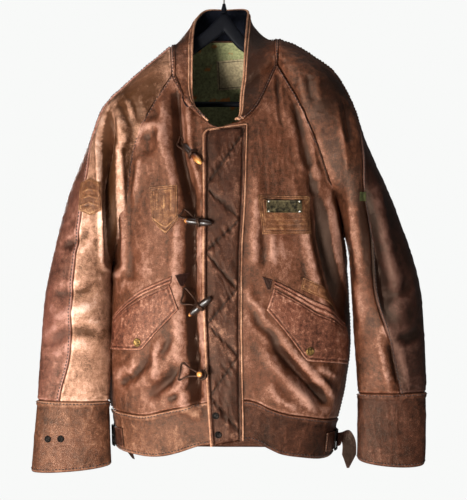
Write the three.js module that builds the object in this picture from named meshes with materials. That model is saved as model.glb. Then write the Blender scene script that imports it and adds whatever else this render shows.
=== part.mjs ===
// A worn leather jacket with raglan sleeves, hung on a clothes hanger.
// Millimetres, +Z up. The origin is the inside top of the hanger's hook, and the front faces -Y.
// "Right" and "left" are the wearer's: the right side of the jacket is at -X.
// Heights are given as drops below the origin, so a point of drop d has z = -d.
import * as THREE from 'three';

// Cloth thicknesses and clearances
const LEATHER = 2;
const FACING = 1.5;
const LINING = 1.2;
const SEAM_GAP = 0.3;
const COLLAR_SEAM_GAP = 0.9;
const LIFT = 0.5;

// Grid sizes of the panels
const ROWS_RAGLAN = 9;
const ROWS_BODY = 7;
const ROWS_SLEEVE = 10;
const COLUMNS_FRONT = 8;
const COLUMNS_BACK = 14;
const COLUMNS_SLEEVE_FRONT = 7;
const COLUMNS_SLEEVE_BACK = 9;

// Body: half widths and depths against the drop, with the rounding of its section
const SECTION_POWER = 0.87;
const HALF_RIGHT = curve([
  [100, 195], [515, 195], [605, 197], [694, 199], [784, 200], [820, 196], [866, 192],
]);
const HALF_LEFT = curve([
  [100, 209], [465, 211], [515, 213], [605, 222], [689, 224], [766, 214], [814, 203], [877, 194],
]);
const DEPTH_FRONT = curve([
  [100, 5], [148, 25], [209, 60], [247, 75], [282, 90], [303, 95], [343, 104], [381, 110],
  [430, 116], [467, 119], [600, 130], [720, 131], [800, 124], [870, 112],
]);
const DEPTH_BACK = curve([
  [100, 74], [131, 79], [200, 91], [300, 99], [450, 101], [600, 103], [720, 102], [800, 98], [880, 88],
]);
const CENTRE_FRONT_GAP = 0.4;
const NECK_BOW = -1.5;

// Seams of the body: the waistband seam and the hem, as drops against the angle round the body in degrees
// (0 at the centre front, positive to the wearer's left, 180 at the centre back)
const WAIST_SEAM = curve([
  [-180, 806], [-130, 803], [-90, 795], [-60, 798], [-42, 800], [-30, 793], [-20, 785], [-9, 776],
  [9, 771], [14, 776], [20, 787], [28, 796], [42, 803], [60, 810], [90, 814], [130, 812], [180, 806],
]);
const HEM = curve([
  [-180, 880], [-130, 876], [-90, 867], [-60, 869], [-42, 873], [-30, 871], [-20, 863], [-9, 851],
  [9, 842], [14, 846], [20, 857], [28, 868], [42, 875], [60, 880], [90, 878], [130, 879], [180, 880],
]);

// Sleeves: stations from the neck to the cuff. The ridge is (x, drop, y), and front and back are the seams
// on the body (x, drop). The seam along the arm gives the share of the front arc behind it.
// The first eight stations lie on the raglan seam, the ninth is the underarm and the rest run down the arm.
const UNDERARM = 8;
const CUFF_STATION = 14;
const RIGHT_SLEEVE = {
  ridge: stations(
    [-95, 150, 10], [-135, 183, 6], [-176, 219, 2], [-201, 244, 0], [-220, 270, -2], [-238, 315, -5],
    [-254, 358, -9], [-273, 413, -14], [-287, 463, -18], [-298, 511, -21], [-309, 561, -24],
    [-318, 611, -28], [-324, 692, -34], [-327, 753, -40], [-328, 778, -42],
  ),
  front: stations(
    [-91, 208], [-115, 246], [-134, 280], [-148, 315], [-158, 343], [-164, 380], [-171, 424], [-179, 473],
    [-193, 515], [-201, 551], [-202, 591], [-204, 636], [-204, 701], [-204, 760], [-202, 780],
  ),
  back: stations(
    [-45, 133], [-75, 165], [-103, 205], [-122, 243], [-138, 282], [-152, 332], [-165, 390], [-180, 455],
    [-193, 515],
  ),
  seam: stations(
    [0.08], [0.08], [0.07], [0.05], [0.07], [0.08], [0.21], [0.3],
    [0.39], [0.43], [0.44], [0.46], [0.465], [0.36], [0.33],
  ),
};
const LEFT_SLEEVE = {
  ridge: stations(
    [97, 137, 10], [133, 153, 6], [169, 175, 2], [197, 196, 0], [218, 227, -2], [236, 270, -5],
    [254, 322, -9], [273, 369, -14], [294, 417, -18], [314, 469, -21], [332, 520, -24],
    [348, 589, -28], [355, 683, -34], [357, 737, -40], [356, 764, -41],
  ),
  front: stations(
    [94, 187], [109, 215], [125, 242], [140, 274], [154, 308], [169, 348], [184, 391], [200, 438],
    [216, 494], [223, 529], [226, 572], [228, 621], [231, 692], [234, 744], [236, 766],
  ),
  back: stations(
    [45, 133], [73, 160], [101, 192], [121, 224], [139, 262], [156, 311], [174, 372], [195, 438],
    [216, 494],
  ),
  seam: stations(
    [0.06], [0.05], [0.05], [0.05], [0.06], [0.07], [0.19], [0.42],
    [0.6], [0.7], [0.72], [0.69], [0.51], [0.44], [0.41],
  ),
};
const SLEEVE_BULGE_FRONT = stations(
  [66], [76], [80], [80], [80], [80], [78], [76], [73], [70], [66], [62], [50], [38], [32],
);
const SLEEVE_BULGE_BACK = stations(
  [72], [82], [84], [84], [82], [80], [78], [74], [70], [66], [62], [58], [46], [34], [28],
);
const UNDERARM_Y = stations([-14], [-18], [-22], [-26], [-34], [-40], [-42]);

// Cuffs: the foot of each as the two ends of its section (x, drop), its depth and its y
const CUFF_ROWS = 4;
const RIGHT_CUFF = { outer: [-340, 903], inner: [-197, 891], depth: 25, y: -46, sag: 5 };
const LEFT_CUFF = { outer: [354, 890], inner: [235, 882], depth: 25, y: -46, sag: 8 };

// Collar: its free edge as (x, drop, y) from the right end round the back to the left end
const COLLAR_ROWS = 2;
const COLLAR_START = 2;
const COLLAR_BULGE = 3;
const FREE_EDGE_BACK = 9;
const FREE_EDGE_END = 19;
const FREE_EDGE = stations(
  [-30, 286, -84], [-48, 270, -76], [-55, 248, -73], [-56, 217, -65], [-56, 182, -51],
  [-57, 148, -31], [-56, 119, -3], [-50, 93, 32], [-34, 75, 64], [3, 73, 78],
  [42, 75, 64], [44, 97, 32], [41, 125, -3], [38, 155, -31], [36, 186, -51],
  [34, 216, -65], [30, 247, -73], [29, 271, -78], [26, 284, -82], [20, 286, -86],
);

// The largest folds: lines on the cloth (x, drop), with a width and a height (troughs are below zero)
const FRONT_FOLDS = [
  { line: [[-186, 330], [-192, 420], [-199, 500]], width: 11, height: -10 },
  { line: [[112, 210], [132, 285], [163, 411], [175, 560]], width: 13, height: -9 },
  { line: [[86, 240], [92, 330], [88, 420]], width: 15, height: 6 },
  { line: [[268, 372], [262, 430], [266, 520]], width: 12, height: -14 },
  { line: [[-62, 520], [-90, 620], [-70, 720]], width: 26, height: -5 },
  { line: [[60, 590], [74, 690], [110, 780]], width: 18, height: -6 },
  { line: [[-300, 600], [-262, 618], [-226, 610]], width: 14, height: -6 },
  { line: [[-305, 690], [-262, 712], [-222, 704]], width: 14, height: -5 },
  { line: [[250, 600], [290, 622], [334, 640]], width: 14, height: -6 },
  { line: [[262, 690], [300, 706], [342, 700]], width: 14, height: -5 },
];
const BACK_FOLDS = [
  { line: [[-150, 300], [-170, 400], [-186, 480]], width: 16, height: -9 },
  { line: [[150, 290], [174, 390], [200, 470]], width: 16, height: -9 },
  { line: [[-40, 300], [-52, 480], [-44, 700]], width: 30, height: -5 },
  { line: [[60, 340], [70, 520], [58, 740]], width: 30, height: -5 },
  { line: [[-300, 620], [-262, 640], [-226, 634]], width: 14, height: -6 },
  { line: [[250, 610], [290, 634], [334, 650]], width: 14, height: -6 },
];

// Storm flap over the centre front: its edges as x against the drop
const STORM_FLAP = {
  right: curve([[300, -36], [429, -35], [600, -35], [771, -27], [852, -22]]),
  left: curve([[290, 41], [429, 37], [515, 32], [651, 31], [771, 33], [842, 34]]),
  top: [307, 298],
  foot: [851, 841],
  zigzag: [
    [40, 304], [-32, 407], [28, 462], [-32, 518], [23, 581], [-28, 641], [25, 695], [-23, 764], [30, 828],
  ],
  thickness: 2.6,
  pillow: 2.2,
  stitch: 8,
  trim: [0.02, 0.985],
  rows: 34,
  columns: 6,
};

// Pieces laid on the cloth: the upper and the lower edge of each through hand-set points (x, drop)
const LAID_ON_RIGHT_FRONT = {
  pocket_welt_right: {
    top: [[-190, 628], [-142, 583], [-87, 559]],
    foot: [[-192, 638], [-138, 593], [-90, 572]],
  },
  pocket_flap_right: {
    top: [[-193, 641], [-137, 596], [-91, 575]],
    foot: [[-197, 690], [-141, 688], [-75, 617]],
  },
  pocket_tack_right: { top: [[-82, 558], [-59, 553]], foot: [[-73, 577], [-69, 577]] },
  patch_shield: { top: [[-128, 406], [-79, 403]], foot: [[-122, 464], [-99, 488], [-77, 464]] },
};
const LAID_ON_LEFT_FRONT = {
  pocket_welt_left: { top: [[87, 567], [148, 599], [216, 642]], foot: [[87, 578], [158, 621], [216, 655]] },
  pocket_flap_left: { top: [[85, 581], [158, 624], [216, 658]], foot: [[73, 617], [141, 706], [217, 717]] },
  pocket_tack_left: { top: [[66, 560], [84, 566]], foot: [[75, 583], [79, 583]] },
  strip_patch_left: { top: [[136, 562], [207, 605]], foot: [[131, 582], [203, 622]] },
  patch_rectangle: { top: [[58, 421], [149, 422]], foot: [[66, 488], [150, 488]] },
};
const BADGE = {
  top: [[-248, 398], [-230, 390], [-212, 398]],
  foot: [[-244, 446], [-226, 456], [-210, 446]],
};
const SMALL_TAB = { top: [[236, 414], [247, 414]], foot: [[236, 430], [247, 430]] };
const METAL_PLATE = { top: [[73, 429], [133, 429]], foot: [[73, 451], [133, 451]] };
const PATCH_THICKNESS = 1.4;
const PLATE_THICKNESS = 1;
const TAB_THICKNESS = 1;
const POCKET_THICKNESS = 2.4;
const POCKET_LIFT = 0.8;
const BADGE_CENTRE_X = -212;

// Snaps, each on the piece under it, as (x, drop)
const SNAP_RADIUS = 7.5;
const SMALL_SNAP_RADIUS = 6;
const SNAP_HEIGHT = 3.2;
const SNAPS = {
  snap_pocket_right: { on: 'pocket_flap_right', at: [-147, 674], radius: SNAP_RADIUS },
  snap_pocket_left: { on: 'pocket_flap_left', at: [147, 689], radius: SNAP_RADIUS },
  snap_storm_flap_1: { on: 'storm_flap', at: [-13, 797], radius: SMALL_SNAP_RADIUS },
  snap_storm_flap_2: { on: 'storm_flap', at: [-9, 830], radius: SMALL_SNAP_RADIUS },
  snap_cuff_right_1: { on: 'cuff_right', at: [-307, 845], radius: SMALL_SNAP_RADIUS },
  snap_cuff_right_2: { on: 'cuff_right', at: [-284, 844], radius: SMALL_SNAP_RADIUS },
};
const RIVETS = [[77, 431.5], [129, 431.5], [77, 448.5], [129, 448.5]];
const RIVET_RADIUS = 1.9;
const RIVET_HEIGHT = 1.2;
const BUTTON_GAP = 0.7;

// Toggles: the two ends of each as (x, drop, stand-off from the front)
const TOGGLE_RADIUS = 6.5;
const TOGGLE_PROFILE = [
  [0, 0], [0.35, 0.01], [0.7, 0.12], [1, 0.4], [1, 0.6], [0.78, 0.86], [0.45, 0.985], [0, 1],
];
const TOGGLES = [
  [[-70, 332, 15], [-38, 368, 15]],
  [[-67, 465, 15], [-19, 470, 15]],
  [[-21, 595, 15], [-59, 627, 15]],
  [[-41, 723, 54], [-29, 728, 11]],
];
const THONG_RADIUS = 2;
const THONG_SEAT = 0.45;
const THONG_GAP = 0.7;
const THONG_FOOT = [29, 22];

// Label and lining inside the back of the neck
const LINING_ROWS = 6;
const LINING_COLUMNS = [1, 13];
const LABEL = { top: [[-15, 166], [60, 160]], foot: [[-12, 220], [62, 214]] };
const LABEL_THICKNESS = 0.6;

// Side straps of the waistband: a tab on the band by angle and drop, a buckle on it, and the free end of the
// strap, whose stations give a middle point, the direction of its width and half that width
const SIDE_TABS = {
  side_tab_right: { top: [[-62, 826], [-98, 826]], foot: [[-62, 860], [-98, 860]] },
  side_tab_left: { top: [[62, 834], [98, 834]], foot: [[62, 868], [98, 868]] },
};
const BUCKLE = { width: 24, height: 38, bar: 3.2, thickness: 2.6 };
const BUCKLES = { buckle_right: ['side_tab_right', -80, 843], buckle_left: ['side_tab_left', 80, 851] };
const STRAP_THICKNESS = 2.4;
const STRAP_LEFT = [
  [[200.6, -26, -851], [0, 0, 1], 12],
  [[207, -37, -848], [0.15, -0.1, 0.98], 12],
  [[214, -45, -841], [0.6, -0.3, 0.75], 12],
  [[220, -50, -854], [1, -0.1, 0.2], 12],
  [[220, -51, -874], [1, 0, 0.05], 12.5],
  [[218, -50, -898], [1, 0, 0], 2],
];
const STRAP_RIGHT = [
  [[-199.3, 8, -842], [0, 0, 1], 12],
  [[-199.8, 25, -845], [-0.1, 0.1, 1], 12],
  [[-192, 48, -855], [-0.5, 0.2, 0.85], 12],
  [[-182, 66, -872], [-0.85, 0.3, 0.5], 12],
  [[-167, 74, -900], [-1, 0.2, 0.3], 2],
];

// Clothes hanger
const HANGER = {
  depth: 12,
  height: 22,
  clearance: 1.1,
  armRows: [5, 4, 3, 2, 1],
  hubTop: { drop: 91, height: 34 },
  neckRight: [[-86, 163, 22], [-60, 143, 22], [-32, 120, 24], [-13, 101, 30]],
  neckLeft: [[86, 153, 22], [62, 149, 22], [38, 134, 24], [14, 104, 30]],
  barAt: [2.6, 4.1],
  barDrop: 254,
  barAlong: [-150, -60, 60, 160],
  barRadius: 5,
  barEndGap: 1,
  cone: { top: 74, foot: 90.6, topRadius: 2.6, footRadius: 6, rim: 6 },
  wireRadius: 1.6,
  stem: [[0, 73.6], [0, 62], [2, 50]],
  hookRadius: 19,
  hookArc: [2.3, -1.9],
  hookSteps: 11,
};

// Colours and finishes
const BROWN = leather(0x5a3a2b);
const DARK_BROWN = leather(0x4a2e25);
const RED_BROWN = leather(0x5c3129);
const NAVY = new THREE.MeshStandardMaterial({ color: 0x10131f, roughness: 0.9, metalness: 0 });
const GREEN = new THREE.MeshStandardMaterial({ color: 0x5e6b45, roughness: 0.95, metalness: 0 });
const CREAM = new THREE.MeshStandardMaterial({ color: 0xd8cba4, roughness: 0.9, metalness: 0 });
const BRASS = new THREE.MeshStandardMaterial({ color: 0x9c7a45, roughness: 0.4, metalness: 1 });
const DARK_METAL = new THREE.MeshStandardMaterial({ color: 0x2c2725, roughness: 0.45, metalness: 1 });
const STEEL = new THREE.MeshStandardMaterial({ color: 0x8f9296, roughness: 0.3, metalness: 1 });
const HORN = new THREE.MeshStandardMaterial({ color: 0x3c2415, roughness: 0.35, metalness: 0 });
const PLASTIC = new THREE.MeshStandardMaterial({ color: 0x14161c, roughness: 0.5, metalness: 0 });

function leather(color) {
  return new THREE.MeshStandardMaterial({ color, roughness: 0.6, metalness: 0 });
}

// Curves through hand-set points

function slopes(at, values) {
  const last = at.length - 1;
  return at.map((_, i) => {
    const a = Math.max(i - 1, 0);
    const b = Math.min(i + 1, last);
    return (values[b] - values[a]) / (at[b] - at[a]);
  });
}

function curve(knots) {
  const at = knots.map((knot) => knot[0]);
  const values = knots.map((knot) => knot[1]);
  const slope = slopes(at, values);
  return (t) => {
    if (t <= at[0]) return values[0];
    if (t >= at[at.length - 1]) return values[at.length - 1];
    const i = at.findIndex((next) => next > t) - 1;
    const span = at[i + 1] - at[i];
    const u = (t - at[i]) / span;
    const rise = values[i + 1] - values[i];
    const c0 = slope[i] * span - rise;
    const c1 = rise - slope[i + 1] * span;
    return values[i] + rise * u + u * (1 - u) * ((1 - u) * c0 + u * c1);
  };
}

function stations(...points) {
  const each = points[0].map((_, axis) => curve(points.map((point, i) => [i, point[axis]])));
  return (t) => each.map((f) => f(t));
}

const mix = (a, b, t) => a + (b - a) * t;
const degrees = THREE.MathUtils.radToDeg;
const signedPower = (v, power) => Math.sign(v) * Math.abs(v) ** power;

// The body's section: a rounded oval at each drop, by the angle round it
function body(angle, drop) {
  const s = Math.sin(angle);
  const c = Math.cos(angle);
  const half = s < 0 ? HALF_RIGHT(drop) : HALF_LEFT(drop);
  const depth = c > 0 ? DEPTH_FRONT(drop) : DEPTH_BACK(drop);
  return new THREE.Vector3(
    half * signedPower(s, SECTION_POWER),
    -depth * signedPower(c, SECTION_POWER),
    -drop,
  );
}

function bodyAngle(x, drop, atBack) {
  const half = x < 0 ? HALF_RIGHT(drop) : HALF_LEFT(drop);
  const angle = Math.asin(Math.min(Math.abs(x) / half, 1) ** (1 / SECTION_POWER));
  return Math.sign(x) * (atBack ? Math.PI - angle : angle);
}

// Sleeve sections: an arc from the front seam over the ridge to the back seam. The turn is 0 on the ridge.
function sleeveArc(ridge, seam, bulge) {
  const lead = Math.min(Math.max((seam.y - ridge.y) / bulge, -1), 1);
  const turn = Math.PI - Math.asin(lead);
  return { ridge, seam, bulge, turn, reach: 1 - Math.cos(turn) };
}

function onArc(arc, turn) {
  const t = (1 - Math.cos(turn)) / arc.reach;
  return new THREE.Vector3(
    mix(arc.ridge.x, arc.seam.x, t),
    arc.ridge.y + arc.bulge * Math.sin(turn),
    mix(arc.ridge.z, arc.seam.z, t),
  );
}

function sleeveStation(sleeve, k) {
  const [x, drop, y] = sleeve.ridge(k);
  const ridge = new THREE.Vector3(x, y, -drop);
  const [frontX, frontDrop] = sleeve.front(k);
  let front;
  let back;
  if (k <= UNDERARM) {
    const blend = THREE.MathUtils.smoothstep(k, UNDERARM - 2, UNDERARM);
    const underarmY = UNDERARM_Y(0)[0];
    front = body(bodyAngle(frontX, frontDrop, false), frontDrop);
    front.y = mix(front.y, underarmY, blend);
    const [backX, backDrop] = sleeve.back(k);
    back = body(bodyAngle(backX, backDrop, true), backDrop);
    back.y = mix(back.y, underarmY, blend);
    front.x = frontX;
    back.x = backX;
  } else {
    front = new THREE.Vector3(frontX, UNDERARM_Y(k - UNDERARM)[0], -frontDrop);
    back = front.clone();
  }
  const mirrored = (v) => new THREE.Vector3(v.x, -v.y, v.z);
  const frontArc = sleeveArc(mirrored(ridge), mirrored(front), SLEEVE_BULGE_FRONT(k)[0]);
  const backArc = sleeveArc(ridge, back, SLEEVE_BULGE_BACK(k)[0]);
  const seamTurn = Math.acos(1 - sleeve.seam(k)[0] * frontArc.reach);
  return {
    front: (turn) => mirrored(onArc(frontArc, turn)),
    back: (turn) => onArc(backArc, turn),
    frontTurn: frontArc.turn,
    backTurn: backArc.turn,
    seamTurn,
  };
}

// The k of each row of a sleeve, from the neck to the cuff
const sleeveRows = [
  ...Array.from({ length: ROWS_RAGLAN }, (_, i) => (UNDERARM * i) / ROWS_RAGLAN),
  ...steps(ROWS_SLEEVE).map((t) => mix(UNDERARM, CUFF_STATION, t)),
];

function sleevePanels(sleeve) {
  const front = [];
  const back = [];
  for (const k of sleeveRows) {
    const section = sleeveStation(sleeve, k);
    front.push(steps(COLUMNS_SLEEVE_FRONT).map((t) => (
      section.front(mix(section.frontTurn, section.seamTurn, t))
    )));
    back.push(steps(COLUMNS_SLEEVE_BACK).map((t) => {
      const turn = mix(section.seamTurn, -section.backTurn, t);
      return turn > 0 ? section.front(turn) : section.back(-turn);
    }));
  }
  return { front, back };
}

function steps(count) {
  return Array.from({ length: count + 1 }, (_, i) => i / count);
}

// Rows of the body's panels run from the waist up to the neck. The outer edge of each front, and both edges
// of the back, are the points of the side seams and then of the raglan seams.
const QUARTER = Math.PI / 2;

function sideSeam(raglanSeam, side) {
  const underarm = raglanSeam[raglanSeam.length - 1];
  const end = WAIST_SEAM(side * 90);
  const from = bodyAngle(underarm.x, -underarm.z, false);
  return steps(ROWS_BODY).slice(1).map((t) => {
    const drop = mix(-underarm.z, end, t);
    const settled = THREE.MathUtils.smoothstep(t, 0, 0.5);
    const point = body(mix(from, side * QUARTER, settled), drop);
    point.y = mix(underarm.y, 0, settled);
    return point;
  }).reverse();
}

// The angle round the body of a point near it, from 0 at the centre front to half a turn at the centre back
function spread(point) {
  const drop = -point.z;
  const half = Math.abs(body(Math.sign(point.x) * QUARTER, drop).x);
  const depth = point.y < 0 ? DEPTH_FRONT(drop) : DEPTH_BACK(drop);
  return Math.atan2(
    signedPower(Math.abs(point.x) / half, 1 / SECTION_POWER),
    signedPower(-point.y / depth, 1 / SECTION_POWER),
  );
}

function frontPanel(outer, side, neckDrop) {
  const foot = -outer[0].z;
  const head = -outer[outer.length - 1].z;
  return outer.map((edge) => {
    const rise = (foot + edge.z) / (foot - head);
    return steps(COLUMNS_FRONT).map((t) => {
      if (t === 1) return edge.clone();
      const ease = t ** 0.9;
      const footDrop = WAIST_SEAM(side * mix(1, 90, ease));
      const headDrop = neckDrop(ease);
      const drop = mix(footDrop, headDrop, rise);
      const inner = bodyAngle(side * CENTRE_FRONT_GAP, drop, false);
      const blend = THREE.MathUtils.smoothstep(rise, 0, 0.3);
      return body(mix(inner, side * spread(edge), mix(ease, t, blend)), drop);
    });
  });
}

function backPanel(right, left) {
  const foot = (side, t) => WAIST_SEAM(side * mix(90, 180, t));
  const height = right[right.length - 1].z - right[0].z;
  return right.map((edge, row) => {
    const other = left[row];
    const rise = (edge.z - right[0].z) / height;
    return steps(COLUMNS_BACK).map((t, column) => {
      if (column === 0) return edge.clone();
      if (column === COLUMNS_BACK) return other.clone();
      const fromCentre = mix(spread(edge) - Math.PI, Math.PI - spread(other), t);
      const side = Math.sign(fromCentre) || 1;
      const toSeam = Math.abs(2 * t - 1);
      const bow = (foot(side, 1 - toSeam) + (side < 0 ? right[0].z : left[0].z)) * (1 - rise);
      const neckBow = NECK_BOW * rise ** 4 * (1 - toSeam ** 2);
      return body(side * (Math.PI - Math.abs(fromCentre)), mix(-edge.z, -other.z, t) + bow + neckBow);
    });
  });
}

const rightSleeve = sleevePanels(RIGHT_SLEEVE);
const leftSleeve = sleevePanels(LEFT_SLEEVE);
const raglan = (rows, column) => rows.slice(0, ROWS_RAGLAN + 1).map((row) => row[column]);
const edgeUp = (panel, column, side) => {
  const seam = raglan(panel, column);
  return [...sideSeam(seam, side), ...seam.slice().reverse()];
};
const rightEdge = edgeUp(rightSleeve.front, 0, -1);
const leftEdge = edgeUp(leftSleeve.front, 0, 1);
const NECK_RIGHT = curve([[0, 304], [0.2, 298], [0.4, 284], [0.6, 265], [0.8, 240], [1, 208]]);
const NECK_LEFT = curve([[0, 299], [0.2, 294], [0.4, 284], [0.6, 262], [0.8, 226], [1, 187]]);

const cloth = {
  front_right: frontPanel(rightEdge, -1, NECK_RIGHT),
  front_left: frontPanel(leftEdge, 1, NECK_LEFT),
  back: backPanel(
    edgeUp(rightSleeve.back, COLUMNS_SLEEVE_BACK, -1),
    edgeUp(leftSleeve.back, COLUMNS_SLEEVE_BACK, 1),
  ),
  sleeve_right_front: rightSleeve.front,
  sleeve_right_back: rightSleeve.back,
  sleeve_left_front: leftSleeve.front,
  sleeve_left_back: leftSleeve.back,
};

// Cuffs hang from the last row of their sleeve, closed round
function cuffPanel(panels, cuff) {
  const [frontFoot, backFoot] = [panels.front, panels.back].map((rows) => rows[rows.length - 1]);
  const top = [...frontFoot, ...backFoot.slice(1, -1)];
  const [outerX, outerDrop] = cuff.outer;
  const [innerX, innerDrop] = cuff.inner;
  const middle = new THREE.Vector3((outerX + innerX) / 2, cuff.y, -(outerDrop + innerDrop) / 2);
  const outer = top.reduce((a, b) => (Math.abs(a.x) > Math.abs(b.x) ? a : b));
  const inner = top.reduce((a, b) => (Math.abs(a.x) < Math.abs(b.x) ? a : b));
  const topMiddle = outer.clone().add(inner).multiplyScalar(0.5);
  const foot = top.map((point) => {
    const across = ((point.x - topMiddle.x) / (outer.x - inner.x)) * 2;
    const round = Math.sqrt(Math.max(1 - across * across, 0));
    const forward = Math.sign(point.y - mix(inner.y, outer.y, (across + 1) / 2));
    return new THREE.Vector3(
      mix(middle.x, outerX, across),
      middle.y + forward * cuff.depth * round,
      middle.z - (outerDrop - innerDrop) / 2 * across - cuff.sag * round,
    );
  });
  return steps(CUFF_ROWS).map((t) => top.map((point, i) => point.clone().lerp(foot[i], t)));
}
const cuffs = {
  cuff_right: cuffPanel(rightSleeve, RIGHT_CUFF),
  cuff_left: cuffPanel(leftSleeve, LEFT_CUFF),
};

// Waistband pieces hang from the first row of the fronts and of the back
function bandPanel(panel, from, to) {
  const head = panel[0].slice(from, to + 1);
  const foot = head.map((point) => {
    const angle = bodyAngle(point.x, -point.z, point.y > 0);
    return body(angle || Math.atan2(point.x, -point.y), HEM(degrees(angle)));
  });
  return [0, 0.5, 1].map((t) => head.map((point, i) => point.clone().lerp(foot[i], t))).reverse();
}
Object.assign(cloth, {
  waistband_front_right: bandPanel(cloth.front_right, 0, COLUMNS_FRONT),
  waistband_front_left: bandPanel(cloth.front_left, 0, COLUMNS_FRONT),
  waistband_back: bandPanel(cloth.back, 0, COLUMNS_BACK),
});

// The collar stands on the neck seam: the top rows of the fronts, the sleeves and the back, in order
const last = (list) => list[list.length - 1];
const neckSeam = [
  ...last(cloth.front_right).slice(COLLAR_START),
  ...rightSleeve.front[0].slice(1),
  ...rightSleeve.back[0].slice(1),
  ...last(cloth.back).slice(1),
  ...leftSleeve.back[0].slice(0, -1).reverse(),
  ...leftSleeve.front[0].slice(0, -1).reverse(),
  ...last(cloth.front_left).slice(COLLAR_START, -1).reverse(),
];

function collarPanel() {
  const lengths = [0];
  for (let i = 1; i < neckSeam.length; i++) {
    lengths.push(lengths[i - 1] + neckSeam[i].distanceTo(neckSeam[i - 1]));
  }
  const back = lengths[neckSeam.indexOf(last(cloth.back)[COLUMNS_BACK / 2])];
  const station = (length) => (length <= back
    ? mix(0, FREE_EDGE_BACK, length / back)
    : mix(FREE_EDGE_BACK, FREE_EDGE_END, (length - back) / (last(lengths) - back)));
  return steps(COLLAR_ROWS).map((t) => neckSeam.map((point, i) => {
    const [x, drop, y] = FREE_EDGE(station(lengths[i]));
    const middle = point.clone().lerp(new THREE.Vector3(x, y, -drop), t);
    const outward = new THREE.Vector3(middle.x, middle.y, 0).normalize();
    return middle.addScaledVector(outward, Math.sin(Math.PI * t) * COLLAR_BULGE);
  }));
}
cloth.collar = collarPanel();

// Folds: each moves the cloth outward or inward near a line
function distanceToLine(line, x, drop) {
  let best = { distance: Infinity, along: 0 };
  for (let i = 0; i + 1 < line.length; i++) {
    const [ax, ay] = line[i];
    const [bx, by] = line[i + 1];
    const dot = (x - ax) * (bx - ax) + (drop - ay) * (by - ay);
    const u = THREE.MathUtils.clamp(dot / ((bx - ax) ** 2 + (by - ay) ** 2), 0, 1);
    const distance = Math.hypot(x - mix(ax, bx, u), drop - mix(ay, by, u));
    if (distance < best.distance) best = { distance, along: (i + u) / (line.length - 1) };
  }
  return best;
}

function foldHeight(point, normal) {
  const folds = normal.y < 0 ? FRONT_FOLDS : BACK_FOLDS;
  let height = 0;
  for (const fold of folds) {
    const { distance, along } = distanceToLine(fold.line, point.x, -point.z);
    const taper = Math.sin(Math.PI * mix(0.08, 0.92, along));
    height += fold.height * taper * Math.exp(-((distance / fold.width) ** 2));
  }
  return height * Math.min(Math.abs(normal.y) * 1.5, 1);
}

// Sewing: panels that share points get one normal there, so that their walls meet edge to edge

const keyOf = (p) => `${p.x.toFixed(2)} ${p.y.toFixed(2)} ${p.z.toFixed(2)}`;

function rawNormals(rows, closed) {
  const height = rows.length;
  const width = rows[0].length;
  return rows.map((row, r) => row.map((_, c) => {
    const left = closed ? rows[r][(c + width - 1) % width] : rows[r][Math.max(c - 1, 0)];
    const right = closed ? rows[r][(c + 1) % width] : rows[r][Math.min(c + 1, width - 1)];
    const up = rows[Math.max(r - 1, 0)][c];
    const down = rows[Math.min(r + 1, height - 1)][c];
    return right.clone().sub(left).cross(down.clone().sub(up)).normalize();
  }));
}

// Panels are turned so that their normals point out of the jacket
const facing = {
  front_right: -1, front_left: 1, back: -1, collar: -1,
  sleeve_right_front: 1, sleeve_right_back: 1, sleeve_left_front: -1, sleeve_left_back: -1,
  waistband_front_right: -1, waistband_front_left: 1, waistband_back: -1,
  cuff_right: 1, cuff_left: -1,
};

const sewn = {};
for (const [name, rows] of Object.entries({ ...cloth, ...cuffs })) {
  sewn[name] = { name, rows, closed: name in cuffs };
}

function shareNormals(panels) {
  const shared = new Map();
  for (const panel of panels) {
    const raw = rawNormals(panel.rows, panel.closed);
    panel.normals = raw.map((row) => row.map((normal) => normal.multiplyScalar(facing[panel.name])));
    panel.rows.forEach((row, r) => row.forEach((point, c) => {
      const key = keyOf(point);
      if (!shared.has(key)) shared.set(key, { sum: new THREE.Vector3(), count: 0, users: [] });
      const entry = shared.get(key);
      entry.sum.add(panel.normals[r][c]);
      entry.count += 1;
      entry.users.push([panel, r, c]);
    }));
  }
  for (const { sum, count, users } of shared.values()) {
    const folded = sum.length() < 0.45 * count;
    const normal = folded ? new THREE.Vector3(sum.x, sum.y, -Math.abs(sum.z) - 0.3 * count) : sum;
    normal.normalize();
    for (const [panel, r, c] of users) panel.normals[r][c] = normal;
  }
}

const panels = Object.values(sewn);
shareNormals(panels);
for (const panel of panels) {
  panel.rows = panel.rows.map((row, r) => row.map((point, c) => {
    const normal = panel.normals[r][c];
    return point.clone().addScaledVector(normal, foldHeight(point, normal));
  }));
}
shareNormals(panels);

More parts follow.
